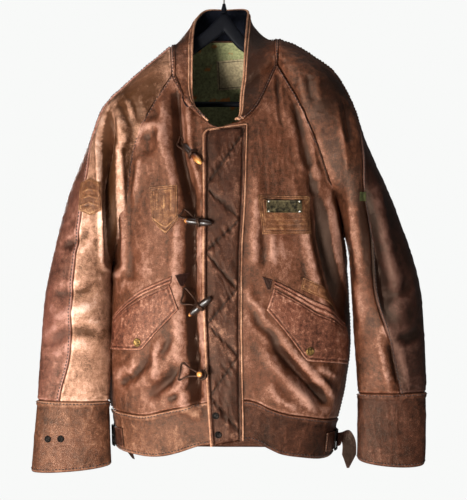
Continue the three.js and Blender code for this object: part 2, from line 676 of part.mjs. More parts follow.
// A wall between an outer grid and an inner grid of points, closed round its rims
function wallGeometry(outer, inner, closed, flip) {
  const height = outer.length;
  const width = outer[0].length;
  const vertices = [...outer.flat(), ...inner.flat()].flatMap((p) => [p.x, p.y, p.z]);
  const at = (r, c, side) => side * height * width + r * width + (c % width);
  const faces = [];
  const quad = (a, b, c, d) => faces.push(a, b, c, a, c, d);
  const spans = closed ? width : width - 1;
  for (let r = 0; r + 1 < height; r++) {
    for (let c = 0; c < spans; c++) {
      quad(at(r, c, 0), at(r, c + 1, 0), at(r + 1, c + 1, 0), at(r + 1, c, 0));
      quad(at(r, c, 1), at(r + 1, c, 1), at(r + 1, c + 1, 1), at(r, c + 1, 1));
    }
  }
  for (let c = 0; c < spans; c++) {
    quad(at(0, c, 0), at(0, c, 1), at(0, c + 1, 1), at(0, c + 1, 0));
    quad(at(height - 1, c, 0), at(height - 1, c + 1, 0), at(height - 1, c + 1, 1), at(height - 1, c, 1));
  }
  if (!closed) {
    for (let r = 0; r + 1 < height; r++) {
      quad(at(r, 0, 0), at(r + 1, 0, 0), at(r + 1, 0, 1), at(r, 0, 1));
      quad(at(r, width - 1, 0), at(r, width - 1, 1), at(r + 1, width - 1, 1), at(r + 1, width - 1, 0));
    }
  }
  if (flip) faces.reverse();
  const geometry = new THREE.BufferGeometry();
  geometry.setAttribute('position', new THREE.Float32BufferAttribute(vertices, 3));
  geometry.setIndex(faces);
  geometry.computeVertexNormals();
  return geometry;
}

// Pulls the rim points of a panel half a seam gap into the panel
function pullRims(panel) {
  const { rows, normals, closed } = panel;
  const height = rows.length;
  const width = rows[0].length;
  const pull = (r, c, inwardR, inwardC) => {
    const along = inwardR
      ? rows[r][Math.min(c + 1, width - 1)].clone().sub(rows[r][Math.max(c - 1, 0)])
      : rows[Math.min(r + 1, height - 1)][c].clone().sub(rows[Math.max(r - 1, 0)][c]);
    const inward = rows[r + inwardR][c + inwardC].clone().sub(rows[r][c]);
    const direction = normals[r][c].clone().cross(along).normalize();
    const gap = panel.name === 'collar' ? COLLAR_SEAM_GAP - SEAM_GAP / 2 : SEAM_GAP / 2;
    return direction.multiplyScalar(Math.sign(direction.dot(inward)) * gap);
  };
  return rows.map((row, r) => row.map((point, c) => {
    const moved = point.clone();
    if (r === 0) moved.add(pull(r, c, 1, 0));
    if (r === height - 1) moved.add(pull(r, c, -1, 0));
    if (!closed && c === 0) moved.add(pull(r, c, 0, 1));
    if (!closed && c === width - 1) moved.add(pull(r, c, 0, -1));
    return moved;
  }));
}

function offset(grid, normals, by) {
  return grid.map((row, r) => row.map((point, c) => point.clone().addScaledVector(normals[r][c], by)));
}

const jacket = new THREE.Group();

function addMesh(name, geometry, material) {
  const mesh = new THREE.Mesh(geometry, material);
  mesh.name = name;
  jacket.add(mesh);
  return mesh;
}

function addWall(name, outer, inner, closed, material, flip) {
  return addMesh(name, wallGeometry(outer, inner, closed, flip), material);
}

for (const panel of panels) {
  const outer = pullRims(panel);
  const inner = offset(outer, panel.normals, -LEATHER);
  const material = /cuff|waistband/.test(panel.name) ? DARK_BROWN : BROWN;
  addWall(panel.name, outer, inner, panel.closed, material, facing[panel.name] < 0);
}

// Casting: finds where a line meets the outside of pieces that are already made
const solids = new Map();

function trianglesOf(name) {
  if (!solids.has(name)) {
    const { index, attributes } = jacket.children.find((mesh) => mesh.name === name).geometry;
    const corner = (i) => new THREE.Vector3().fromBufferAttribute(attributes.position, index.getX(i));
    const triangle = (_, i) => [0, 1, 2].map((j) => corner(3 * i + j));
    solids.set(name, Array.from({ length: index.count / 3 }, triangle));
  }
  return solids.get(name);
}

function cast(names, origin, direction) {
  const ray = new THREE.Ray(origin, direction.clone().normalize());
  let best = null;
  for (const name of names) {
    for (const [a, b, c] of trianglesOf(name)) {
      const point = ray.intersectTriangle(a, b, c, true, new THREE.Vector3());
      if (point && (!best || point.distanceTo(origin) < best.point.distanceTo(origin))) {
        best = { point, normal: b.clone().sub(a).cross(c.clone().sub(a)).normalize() };
      }
    }
  }
  return best;
}

function polyline(points) {
  return (t) => {
    const i = Math.min(Math.floor(t * (points.length - 1)), points.length - 2);
    const u = t * (points.length - 1) - i;
    return [mix(points[i][0], points[i + 1][0], u), mix(points[i][1], points[i + 1][1], u)];
  };
}

const CAST_FROM = 60;
const GAP_REACH = 2;
const FRONTS = ['front_right', 'front_left'];

// The point of stand-off before the jacket's front at x and drop
function frontPoint(x, drop, standOff, on = FRONTS) {
  const near = body(bodyAngle(x, drop, false), drop);
  const from = new THREE.Vector3(x, near.y - CAST_FROM, -drop);
  const hit = cast(on, from, new THREE.Vector3(0, 1, 0))?.point ?? near;
  return new THREE.Vector3(x, hit.y - standOff, -drop);
}

// A sheet laid on other pieces: each of its points is moved out from the surface under it. On the body its
// outline runs in angle and drop, elsewhere in x and drop.
const onBody = {
  map: ([x, drop]) => [bodyAngle(x, drop, false), drop],
  out: (angle, drop) => {
    const along = body(angle + 0.02, drop).sub(body(angle - 0.02, drop));
    return new THREE.Vector3(along.y, -along.x, 0).normalize();
  },
  near: (angle, drop) => body(angle, drop),
};
const byAngle = { ...onBody, map: ([angle, drop]) => [THREE.MathUtils.degToRad(angle), drop] };
const facingFront = (y, out) => ({
  map: (point) => point,
  out: (x, drop) => (out ? out(x, drop) : new THREE.Vector3(0, -1, 0)),
  near: (x, drop) => new THREE.Vector3(x, y, -drop),
});

// Raises the inside of a sheet wherever one of its flat faces would cut an edge of the surface under it
const CLEARING_PASSES = 4;
const CLEARANCE = 0.25;
const SAMPLES = [0.1, 0.3, 0.5, 0.7, 0.9];

function clearSheet(inner, outs, on) {
  const raise = inner.map((row) => row.map(() => 0));
  for (let r = 0; r + 1 < inner.length; r++) {
    for (let c = 0; c + 1 < inner[0].length; c++) {
      const corners = [[r, c], [r, c + 1], [r + 1, c + 1], [r + 1, c]];
      const out = outs[r][c].clone().add(outs[r + 1][c + 1]).normalize();
      for (const u of SAMPLES) {
        for (const v of SAMPLES) {
          const weights = u >= v ? [1 - u, u - v, v, 0] : [1 - v, 0, u, v - u];
          const point = new THREE.Vector3();
          corners.forEach(([i, j], n) => point.addScaledVector(inner[i][j], weights[n]));
          const hit = cast(on, point.clone().addScaledVector(out, CAST_FROM), out.clone().negate());
          const lack = hit ? CLEARANCE - point.sub(hit.point).dot(out) : 0;
          if (lack > 0) corners.forEach(([i, j]) => { raise[i][j] = Math.max(raise[i][j], lack); });
        }
      }
    }
  }
  inner.forEach((row, r) => row.forEach((point, c) => point.addScaledVector(outs[r][c], raise[r][c])));
}

function laySheet(name, shape, options) {
  const { on, thickness, material, space = onBody, columns = 6, rows = 4, lift = LIFT } = options;
  const top = polyline(shape.top.map(space.map));
  const foot = polyline(shape.foot.map(space.map));
  const outs = steps(rows).map((v) => steps(columns).map((u) => {
    const [topAcross, topDrop] = top(u);
    const [footAcross, footDrop] = foot(u);
    return space.out(mix(topAcross, footAcross, v), mix(topDrop, footDrop, v));
  }));
  const inner = steps(rows).map((v, r) => steps(columns).map((u, c) => {
    const [topAcross, topDrop] = top(u);
    const [footAcross, footDrop] = foot(u);
    const out = outs[r][c];
    const near = space.near(mix(topAcross, footAcross, v), mix(topDrop, footDrop, v));
    const hit = cast(on, near.clone().addScaledVector(out, CAST_FROM), out.clone().negate());
    return (hit ? hit.point : near).clone().addScaledVector(out, lift);
  }));
  for (let pass = 0; pass < CLEARING_PASSES; pass++) clearSheet(inner, outs, on);
  const outer = offset(inner, outs, thickness);
  const [across, drop] = top(0.5);
  const turned = rawNormals(outer, false)[1][1].dot(space.out(across, drop)) < 0;
  return addWall(name, outer, inner, false, material, turned);
}

// Storm flap, quilted in a zigzag
function stormFlapHeight(x, drop, toEdge) {
  const { distance } = distanceToLine(STORM_FLAP.zigzag, x, drop);
  return STORM_FLAP.pillow * (1 - Math.exp(-((Math.min(distance, toEdge) / STORM_FLAP.stitch) ** 2)));
}

function addStormFlap() {
  const fronts = ['front_right', 'front_left', 'waistband_front_right', 'waistband_front_left'];
  const grid = steps(STORM_FLAP.rows).map((v) => steps(STORM_FLAP.columns).map((u) => {
    const drop = mix(mix(...STORM_FLAP.top, u), mix(...STORM_FLAP.foot, u), v);
    const rightX = STORM_FLAP.right(drop);
    const leftX = STORM_FLAP.left(drop);
    const x = mix(rightX, leftX, mix(...STORM_FLAP.trim, u));
    const besideGap = Math.abs(x) < GAP_REACH ? GAP_REACH : x;
    const point = frontPoint(besideGap, drop, LIFT, fronts).setX(x);
    const toEdge = Math.min(x - rightX, leftX - x) + 2;
    return { point, raised: STORM_FLAP.thickness + stormFlapHeight(x, drop, toEdge) };
  }));
  const inner = grid.map((row) => row.map(({ point }) => point));
  const outer = grid.map((row) => row.map(({ point, raised }) => point.clone().setY(point.y - raised)));
  addWall('storm_flap', outer, inner, false, BROWN, true);
}
addStormFlap();

const PIECE_GRIDS = { flap: [10, 6], welt: [10, 1], tack: [2, 2], patch: [7, 5], strip: [6, 1] };

function addFrontPieces(shapes, on) {
  for (const [name, shape] of Object.entries(shapes)) {
    const kind = Object.keys(PIECE_GRIDS).find((word) => name.includes(word));
    const isPocket = kind === 'flap' || kind === 'welt';
    const [columns, rows] = PIECE_GRIDS[kind];
    laySheet(name, shape, {
      on: [on],
      thickness: isPocket ? POCKET_THICKNESS : PATCH_THICKNESS,
      material: kind === 'tack' ? DARK_BROWN : RED_BROWN,
      lift: isPocket ? POCKET_LIFT : LIFT,
      columns,
      rows,
    });
  }
}
addFrontPieces(LAID_ON_RIGHT_FRONT, 'front_right');
addFrontPieces(LAID_ON_LEFT_FRONT, 'front_left');
laySheet('metal_plate', METAL_PLATE, {
  on: ['patch_rectangle'], thickness: PLATE_THICKNESS, material: DARK_METAL, columns: 4, rows: 2, lift: 0.4,
});
laySheet('badge_sleeve_right', BADGE, {
  on: ['sleeve_right_front', 'sleeve_right_back'],
  thickness: PATCH_THICKNESS,
  material: RED_BROWN,
  space: facingFront(-70, (x) => new THREE.Vector3(x - BADGE_CENTRE_X, -70, 0).normalize()),
  lift: 0.8,
  columns: 8,
});
laySheet('tab_sleeve_left', SMALL_TAB, {
  on: ['sleeve_left_back', 'sleeve_left_front'],
  thickness: TAB_THICKNESS,
  material: GREEN,
  space: facingFront(-60),
  lift: 0.7,
  columns: 2,
  rows: 2,
});

// Collar facing, back lining and label
const facingPanel = sewn.collar;
const facingBase = pullRims(facingPanel);
const trimEnds = (grid) => grid.map((row) => row.slice(1, -1));
addWall(
  'collar_facing',
  trimEnds(offset(facingBase, facingPanel.normals, -LEATHER - SEAM_GAP)),
  trimEnds(offset(facingBase, facingPanel.normals, -LEATHER - SEAM_GAP - FACING)),
  false, NAVY, facing.collar < 0,
);

const backRows = sewn.back.rows.length;
const [liningFrom, liningTo] = LINING_COLUMNS;
const cut = (grid) => (
  grid.slice(backRows - 1 - LINING_ROWS).map((row) => row.slice(liningFrom, liningTo + 1))
);
const liningBase = cut(pullRims(sewn.back));
const liningNormals = cut(sewn.back.normals);
addWall(
  'lining_back',
  offset(liningBase, liningNormals, -LEATHER - SEAM_GAP),
  offset(liningBase, liningNormals, -LEATHER - SEAM_GAP - LINING),
  false, GREEN, facing.back < 0,
);
laySheet('label', LABEL, {
  on: ['lining_back'],
  thickness: LABEL_THICKNESS,
  material: CREAM,
  space: facingFront(60),
  columns: 4,
  rows: 3,
});

// Round pieces: snaps and rivets, flat on the face under them
function addButton(name, on, [x, drop], radius, height, material, sides) {
  const space = on.startsWith('cuff') ? facingFront(-60) : onBody;
  const at = space.map([x, drop]);
  const out = space.out(...at);
  const hit = cast([on], space.near(...at).addScaledVector(out, CAST_FROM), out.clone().negate());
  const profile = [[0, 0], [radius, 0], [radius, height * 0.4], [radius * 0.7, height * 0.85], [0, height]];
  const geometry = new THREE.LatheGeometry(profile.map(([r, z]) => new THREE.Vector2(r, z)), sides);
  const mesh = addMesh(name, geometry, material);
  mesh.position.copy(hit.point.addScaledVector(hit.normal, BUTTON_GAP));
  mesh.quaternion.setFromUnitVectors(new THREE.Vector3(0, 1, 0), hit.normal);
}
for (const [name, { on, at, radius }] of Object.entries(SNAPS)) {
  addButton(name, on, at, radius, SNAP_HEIGHT, name.includes('pocket') ? BRASS : DARK_METAL, 12);
}
RIVETS.forEach((at, i) => {
  addButton(`plate_rivet_${i + 1}`, 'metal_plate', at, RIVET_RADIUS, RIVET_HEIGHT, STEEL, 8);
});

// Toggles with their thongs
function circle(radius, sides) {
  return new THREE.Shape(new THREE.EllipseCurve(0, 0, radius, radius).getPoints(sides).slice(0, sides));
}

function addToggle(index, [from, to]) {
  const a = frontPoint(...from);
  const b = frontPoint(...to);
  const axis = b.clone().sub(a);
  const length = axis.length();
  axis.normalize();
  const points = TOGGLE_PROFILE.map(([r, t]) => new THREE.Vector2(r * TOGGLE_RADIUS, t * length));
  const toggle = addMesh(`toggle_${index}`, new THREE.LatheGeometry(points, 10), HORN);
  toggle.position.copy(a);
  toggle.quaternion.setFromUnitVectors(new THREE.Vector3(0, 1, 0), axis);

  const reach = TOGGLE_RADIUS + THONG_RADIUS + THONG_GAP;
  const middle = a.clone().lerp(b, 0.5);
  const away = new THREE.Vector3(0, -1, 0).addScaledVector(axis, axis.y).normalize();
  const across = away.clone().cross(axis).normalize();
  if (across.x > 0) across.negate();
  const around = (turn) => middle.clone()
    .addScaledVector(away, reach * Math.sin(turn))
    .addScaledVector(across, reach * Math.cos(turn));
  const [end, foot] = THONG_FOOT.map((far) => {
    const point = middle.clone().addScaledVector(across, far);
    return frontPoint(point.x, -point.z, THONG_RADIUS + THONG_SEAT);
  });
  const side = middle.clone().addScaledVector(across, reach);
  const path = new THREE.CatmullRomCurve3([
    end,
    foot,
    foot.clone().lerp(side, 0.5).add(new THREE.Vector3(0, -2, 0)),
    around(0.15),
    around(Math.PI * 0.3),
    around(Math.PI * 0.55),
    around(Math.PI * 0.8),
    around(Math.PI * 1.05),
  ]);
  const tube = new THREE.ExtrudeGeometry(circle(THONG_RADIUS, 6), { steps: 11, extrudePath: path });
  addMesh(`toggle_thong_${index}`, tube, DARK_BROWN);
}
TOGGLES.forEach((ends, i) => addToggle(i + 1, ends));

// Side tabs, buckles and straps of the waistband
for (const [name, shape] of Object.entries(SIDE_TABS)) {
  const side = name.endsWith('right') ? 'right' : 'left';
  laySheet(name, shape, {
    on: [`waistband_front_${side}`, 'waistband_back'],
    thickness: 2.4,
    material: DARK_BROWN,
    space: byAngle,
    lift: 0.7,
    columns: 7,
    rows: 2,
  });
}

function rectangle(width, height) {
  const corner = ([x, y]) => new THREE.Vector2((x * width) / 2, (y * height) / 2);
  return [[-1, -1], [1, -1], [1, 1], [-1, 1]].map(corner);
}

for (const [name, [on, angle, drop]] of Object.entries(BUCKLES)) {
  const { width, height, bar, thickness } = BUCKLE;
  const frame = new THREE.Shape(rectangle(width, height));
  frame.holes.push(new THREE.Path(rectangle(width - 2 * bar, height - 2 * bar).reverse()));
  const turned = THREE.MathUtils.degToRad(angle);
  const out = byAngle.out(turned, drop);
  const hit = cast([on], body(turned, drop).addScaledVector(out, CAST_FROM), out.clone().negate());
  const geometry = new THREE.ExtrudeGeometry(frame, { depth: thickness, bevelEnabled: false });
  const mesh = addMesh(name, geometry, DARK_METAL);
  mesh.position.copy(hit.point.addScaledVector(hit.normal, LIFT));
  const across = new THREE.Vector3(0, 0, 1).cross(hit.normal).normalize();
  const up = hit.normal.clone().cross(across);
  mesh.quaternion.setFromRotationMatrix(new THREE.Matrix4().makeBasis(across, up, hit.normal));
}

function addStrap(name, stationsAlong) {
  const rows = stationsAlong.map(([middle, direction, half]) => {
    const centre = new THREE.Vector3(...middle);
    const width = new THREE.Vector3(...direction).normalize();
    return [-1, 0, 1].map((side) => centre.clone().addScaledVector(width, side * half));
  });
  const normals = rawNormals(rows, false);
  const half = STRAP_THICKNESS / 2;
  addWall(name, offset(rows, normals, half), offset(rows, normals, -half), false, DARK_BROWN, false);
}
addStrap('side_strap_left', STRAP_LEFT);
addStrap('side_strap_right', STRAP_RIGHT);

// Clothes hanger: both arms as one bar of rounded section, close under the ridges of the sleeves
function armStation(sleeve, k) {
  const [x, drop, y] = sleeve.ridge(k);
  const [x1, drop1] = sleeve.ridge(k + 0.1);
  const [x0, drop0] = sleeve.ridge(Math.max(k - 0.1, 0));
  const along = new THREE.Vector3(x1 - x0, 0, drop0 - drop1).normalize();
  const down = new THREE.Vector3(along.z, 0, -along.x).multiplyScalar(Math.sign(x));
  const top = new THREE.Vector3(x, y, -drop).addScaledVector(down, LEATHER + HANGER.clearance);
  return { top, down, height: HANGER.height };
}

function hubStation([x, drop, height]) {
  const down = new THREE.Vector3(-Math.sign(x) * Math.min(Math.abs(x) / 60, 0.5), 0, -1).normalize();
  return { top: new THREE.Vector3(x, 0, -drop), down, height };
}

const hangerStations = [
  ...HANGER.armRows.map((row) => armStation(RIGHT_SLEEVE, sleeveRows[row])),
  ...HANGER.neckRight.map(hubStation),
  hubStation([0, HANGER.hubTop.drop, HANGER.hubTop.height]),
  ...HANGER.neckLeft.slice().reverse().map(hubStation),
  ...HANGER.armRows.slice().reverse().map((row) => armStation(LEFT_SLEEVE, sleeveRows[row])),
];

function loft(rings) {
  const sides = rings[0].length;
  const vertices = rings.flat().flatMap((p) => [p.x, p.y, p.z]);
  const faces = [];
  for (let r = 0; r + 1 < rings.length; r++) {
    for (let i = 0; i < sides; i++) {
      const a = r * sides + i;
      const b = r * sides + ((i + 1) % sides);
      faces.push(a, b, b + sides, a, b + sides, a + sides);
    }
  }
  const end = (rings.length - 1) * sides;
  for (let i = 1; i + 1 < sides; i++) faces.push(0, i + 1, i, end, end + i, end + i + 1);
  const geometry = new THREE.BufferGeometry();
  geometry.setAttribute('position', new THREE.Float32BufferAttribute(vertices, 3));
  geometry.setIndex(faces);
  geometry.computeVertexNormals();
  return geometry;
}

const HANGER_SECTION = [
  [-0.6, 0], [-1, 0.15], [-1, 0.85], [-0.6, 1], [0.6, 1], [1, 0.85], [1, 0.15], [0.6, 0],
];
const hangerRing = ({ top, down, height }) => HANGER_SECTION.map(([across, deep]) => (
  top.clone().addScaledVector(down, deep * height).add(new THREE.Vector3(0, across * HANGER.depth / 2, 0))
));
addMesh('hanger_arms', loft(hangerStations.map(hangerRing)), PLASTIC);

const barEnds = [[RIGHT_SLEEVE, HANGER.barAt[0]], [LEFT_SLEEVE, HANGER.barAt[1]]].map(([sleeve, k]) => {
  const { top, down, height } = armStation(sleeve, k);
  const under = (by) => top.clone().addScaledVector(down, height + by);
  return [under(HANGER.barEndGap), under(HANGER.barEndGap + HANGER.barRadius)];
});
const barPoint = (x) => new THREE.Vector3(x, 0, -HANGER.barDrop);
addMesh('hanger_bar', new THREE.ExtrudeGeometry(circle(HANGER.barRadius, 8), {
  steps: 14,
  extrudePath: new THREE.CatmullRomCurve3([
    ...barEnds[0], ...HANGER.barAlong.map(barPoint), ...barEnds[1].reverse(),
  ]),
}), PLASTIC);

const { cone } = HANGER;
const coneMesh = addMesh('hanger_cone', new THREE.LatheGeometry([
  [0, -cone.foot], [cone.footRadius, -cone.foot], [cone.footRadius * 0.75, -cone.foot + cone.rim],
  [cone.topRadius, -cone.top], [0, -cone.top],
].map(([r, z]) => new THREE.Vector2(r, z)), 12), PLASTIC);
coneMesh.rotation.x = Math.PI / 2;

const hookTurn = (angle) => {
  const radius = HANGER.hookRadius + HANGER.wireRadius;
  return new THREE.Vector3(radius * Math.sin(angle), 0, radius * Math.cos(angle) - HANGER.hookRadius);
};
addMesh('hanger_hook', new THREE.ExtrudeGeometry(circle(HANGER.wireRadius, 6), {
  steps: 30,
  extrudePath: new THREE.CatmullRomCurve3([
    ...HANGER.stem.map(([x, drop]) => new THREE.Vector3(x, 0, -drop)),
    ...steps(HANGER.hookSteps).map((t) => hookTurn(mix(...HANGER.hookArc, t))),
  ]),
}), STEEL);

export default jacket;
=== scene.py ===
"""A worn leather jacket with raglan sleeves, hung on a clothes hanger. Millimetres are turned to metres
when a mesh is made. Drops are heights below the hook, and "right" and "left" are the wearer's."""
import math

import bpy
import numpy as np
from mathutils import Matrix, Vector, noise
from mathutils.bvhtree import BVHTree


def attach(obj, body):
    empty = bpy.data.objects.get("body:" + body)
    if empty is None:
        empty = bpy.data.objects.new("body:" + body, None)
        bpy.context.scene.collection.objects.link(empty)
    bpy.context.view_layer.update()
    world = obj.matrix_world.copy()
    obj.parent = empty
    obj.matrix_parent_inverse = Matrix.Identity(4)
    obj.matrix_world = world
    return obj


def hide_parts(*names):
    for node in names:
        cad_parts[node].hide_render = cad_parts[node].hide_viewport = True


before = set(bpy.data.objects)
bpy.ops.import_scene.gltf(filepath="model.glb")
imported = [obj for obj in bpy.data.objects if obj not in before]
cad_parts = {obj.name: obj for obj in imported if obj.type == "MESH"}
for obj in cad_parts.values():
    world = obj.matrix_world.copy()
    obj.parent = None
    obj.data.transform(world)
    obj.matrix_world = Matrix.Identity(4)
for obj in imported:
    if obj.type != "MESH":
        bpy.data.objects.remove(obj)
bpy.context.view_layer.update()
bpy.ops.object.select_all(action="DESELECT")
MM = 0.001

# Studio. The jacket hangs in front of a white wall and is lit softly from the left of the camera.
# The camera is level, as far off as a person stands, a little right of the hook and at chest height.
CAMERA_PLACE = (0.017, -2.56, -0.515)
CAMERA_LENS, CAMERA_SENSOR = 102.86, 36

bpy.ops.object.camera_add(location=CAMERA_PLACE, rotation=(math.pi / 2, 0, 0))
camera = bpy.context.object
camera.data.lens = CAMERA_LENS
camera.data.sensor_width = CAMERA_SENSOR
bpy.context.scene.camera = camera


JACKET_MIDDLE = Vector((0, 0, -0.5))
DAYLIGHT, WHITE = (1, 0.975, 0.94), (1, 1, 1)
LIGHTS = {
    "window_light": ((-2.0, -1.6, -0.7), (0.7, 0.9), 50, DAYLIGHT),
    "key_light": ((-1.0, -2.3, -1.15), (0.6, 0.6), 125, DAYLIGHT),
    "fill_light": ((1.7, -2.0, -1.0), (1.2, 1.2), 13, WHITE),
    "top_light": ((0.2, -0.3, 1.4), (1.2, 0.8), 8, WHITE),
    "back_light": ((-0.5, 2.2, -0.1), (1.2, 1.2), 34, WHITE),
}
for name, (place, size, watts, colour) in LIGHTS.items():
    bpy.ops.object.light_add(type="AREA", location=place)
    lamp = bpy.context.object
    lamp.name = name
    lamp.rotation_euler = (JACKET_MIDDLE - Vector(place)).to_track_quat("-Z", "Y").to_euler()
    lamp.data.shape = "RECTANGLE"
    lamp.data.size, lamp.data.size_y = size
    lamp.data.energy = watts
    lamp.data.color = colour


def linear(code):
    """The linear colour of an sRGB hex value, with alpha."""
    parts = [int(code[i:i + 2], 16) / 255 for i in (1, 3, 5)]
    return (*(v / 12.92 if v <= 0.04045 else ((v + 0.055) / 1.055) ** 2.4 for v in parts), 1)


bpy.context.scene.view_settings.view_transform = "Standard"
world = bpy.data.worlds.new("white_room")
bpy.context.scene.world = world
world.use_nodes = True


def add_node(tree, kind, settings=None, **links):
    """Adds a node, sets its properties and sockets, and links what is a socket already."""
    made = tree.nodes.new(kind)
    for key, value in (settings or {}).items():
        setattr(made, key, value)
    for key, value in links.items():
        place = made.inputs[int(key[1:])] if key[0] == "i" and key[1:].isdigit() else made.inputs[key]
        if isinstance(value, bpy.types.NodeSocket):
            tree.links.new(value, place)
        else:
            place.default_value = value
    return made


room = world.node_tree
wall = room.nodes["Background"]
wall.inputs["Color"].default_value = linear("#f8f9f8")
wall.inputs["Strength"].default_value = 1.0
soft_fill = add_node(room, "ShaderNodeBackground", Color=linear("#f0efec"), Strength=0.1)
seen = add_node(room, "ShaderNodeLightPath").outputs["Is Camera Ray"]
room_light = add_node(room, "ShaderNodeMixShader", i0=seen, i1=soft_fill.outputs[0], i2=wall.outputs[0])
room.links.new(room_light.outputs[0], room.nodes["World Output"].inputs["Surface"])


def new_material(name, **sockets):
    """A material with its Principled shader's sockets set, given as its tree and shader."""
    made = bpy.data.materials.new(name)
    made.use_nodes = True
    shader = made.node_tree.nodes["Principled BSDF"]
    for key, value in sockets.items():
        shader.inputs[key.replace("_", " ")].default_value = value
    return made, made.node_tree, shader


# Floor of the studio: a disc of board in matt white paint, which takes a soft shadow and has no shine.
# It lies well below the jacket, so that little of its light comes back up.
FLOOR_RADIUS, FLOOR_DROP = 2.2, 1.55
bpy.ops.mesh.primitive_circle_add(
    vertices=64, radius=FLOOR_RADIUS, fill_type="NGON", location=(0, 0, -FLOOR_DROP))
floor = bpy.context.object
floor.name = "studio_floor"
floor_paint, _, _ = new_material("matt_white_paint", Base_Color=linear("#f2f3f1"), Roughness=0.9)
floor.data.materials.append(floor_paint)


# Cut of the jacket: two fronts and a back that make a rounded tube, and two-piece raglan sleeves that run
# up to the neck. All are cowhide about 2 mm thick. The curves below give the cloth before it creases.
LEATHER = 2.0
SECTION_POWER = 0.87


def curve(knots):
    """A smooth curve through (place, value) points, flat past its ends."""
    at, values = np.array(knots, float).T
    order = np.arange(len(at))
    before, after = np.maximum(order - 1, 0), np.minimum(order + 1, len(at) - 1)
    slope = (values[after] - values[before]) / (at[after] - at[before])

    def value(t):
        t = np.clip(t, at[0], at[-1])
        i = np.clip(np.searchsorted(at, t, side="right") - 1, 0, len(at) - 2)
        span, rise = at[i + 1] - at[i], values[i + 1] - values[i]
        u = (t - at[i]) / span
        lean_in, lean_out = slope[i] * span - rise, rise - slope[i + 1] * span
        return values[i] + rise * u + u * (1 - u) * ((1 - u) * lean_in + u * lean_out)

    return value


def stations(*points):
    """Curves through numbered stations, one for each of their numbers."""
    each = [curve(list(enumerate(values))) for values in zip(*points)]
    return lambda k: [f(k) for f in each]


HALF_RIGHT = curve([
    [100, 195], [515, 195], [605, 201], [694, 203], [784, 202], [820, 197], [866, 192]])
HALF_LEFT = curve([
    [100, 209], [465, 211], [515, 213], [605, 222], [689, 224], [766, 214], [814, 203], [877, 194]])
DEPTH_FRONT = curve([
    [100, 5], [148, 25], [209, 60], [247, 75], [282, 90], [303, 95], [343, 104], [381, 110],
    [430, 116], [467, 119], [600, 130], [720, 131], [800, 124], [870, 112]])
DEPTH_BACK = curve([
    [100, 74], [131, 79], [200, 91], [300, 99], [450, 101], [600, 103], [720, 102], [800, 98], [880, 88]])
WAIST_SEAM = curve([
    [-180, 806], [-130, 803], [-90, 795], [-60, 798], [-42, 800], [-30, 793], [-20, 785], [-9, 776],
    [9, 771], [14, 776], [20, 787], [28, 796], [42, 803], [60, 810], [90, 814], [130, 812], [180, 806]])
HEM = curve([
    [-180, 880], [-130, 876], [-90, 867], [-60, 869], [-42, 873], [-30, 871], [-20, 863], [-9, 851],
    [9, 842], [14, 846], [20, 857], [28, 868], [42, 875], [60, 880], [90, 878], [130, 879], [180, 880]])
NECK_RIGHT = curve([[0, 304], [0.2, 298], [0.4, 284], [0.6, 265], [0.8, 240], [1, 208]])
NECK_LEFT = curve([[0, 299], [0.2, 294], [0.4, 284], [0.6, 262], [0.8, 226], [1, 187]])
CENTRE_FRONT_GAP = 0.4
NECK_BOW = -1.5

UNDERARM, CUFF_STATION = 8, 14
RIGHT_SLEEVE = {
    "ridge": stations(
        (-95, 150, 10), (-135, 183, 6), (-176, 219, 2), (-201, 244, 0), (-220, 270, -2), (-238, 315, -5),
        (-254, 358, -9), (-273, 413, -14), (-287, 463, -18), (-298, 511, -21), (-309, 561, -24),
        (-318, 611, -28), (-324, 692, -34), (-327, 753, -40), (-328, 778, -42)),
    "front": stations(
        (-91, 208), (-115, 246), (-134, 280), (-148, 315), (-158, 343), (-164, 380), (-171, 424), (-179, 473),
        (-193, 515), (-200, 551), (-199, 591), (-199, 636), (-199, 701), (-200, 760), (-201, 780)),
    "back": stations(
        (-45, 133), (-75, 165), (-103, 205), (-122, 243), (-138, 282), (-152, 332), (-165, 390), (-180, 455),
        (-193, 515)),
    "seam": stations(
        (0.08,), (0.08,), (0.07,), (0.05,), (0.07,), (0.08,), (0.21,), (0.3,),
        (0.39,), (0.43,), (0.44,), (0.46,), (0.465,), (0.36,), (0.33,)),
}
LEFT_SLEEVE = {
    "ridge": stations(
        (97, 137, 10), (133, 153, 6), (169, 175, 2), (197, 196, 0), (218, 227, -2), (236, 270, -5),
        (254, 322, -9), (273, 369, -14), (294, 417, -18), (314, 469, -21), (332, 520, -24),
        (348, 589, -28), (355, 683, -34), (357, 737, -40), (356, 764, -41)),
    "front": stations(
        (94, 187), (109, 215), (125, 242), (140, 274), (154, 308), (169, 348), (184, 391), (200, 438),
        (216, 494), (223, 529), (226, 572), (228, 621), (231, 692), (234, 744), (236, 766)),
    "back": stations(
        (45, 133), (73, 160), (101, 192), (121, 224), (139, 262), (156, 311), (174, 372), (195, 438),
        (216, 494)),
    "seam": stations(
        (0.06,), (0.05,), (0.05,), (0.05,), (0.06,), (0.07,), (0.19,), (0.42,),
        (0.6,), (0.7,), (0.72,), (0.69,), (0.51,), (0.44,), (0.41,)),
}
BULGE_FRONT = curve(list(enumerate([66, 76, 80, 80, 80, 80, 78, 76, 73, 70, 66, 62, 50, 38, 32])))
BULGE_BACK = curve(list(enumerate([72, 82, 84, 84, 82, 80, 78, 74, 70, 66, 62, 58, 46, 34, 28])))
UNDERARM_Y = curve(list(enumerate([-14, -18, -22, -26, -34, -40, -42])))


def powered(v, power):
    return np.sign(v) * np.abs(v) ** power


def mix(a, b, t):
    return a + (b - a) * t


def unit(vectors):
    return vectors / np.maximum(np.linalg.norm(vectors, axis=-1, keepdims=True), 1e-9)


def smooth(t, start, end):
    u = np.clip((t - start) / (end - start), 0, 1)
    return u * u * (3 - 2 * u)


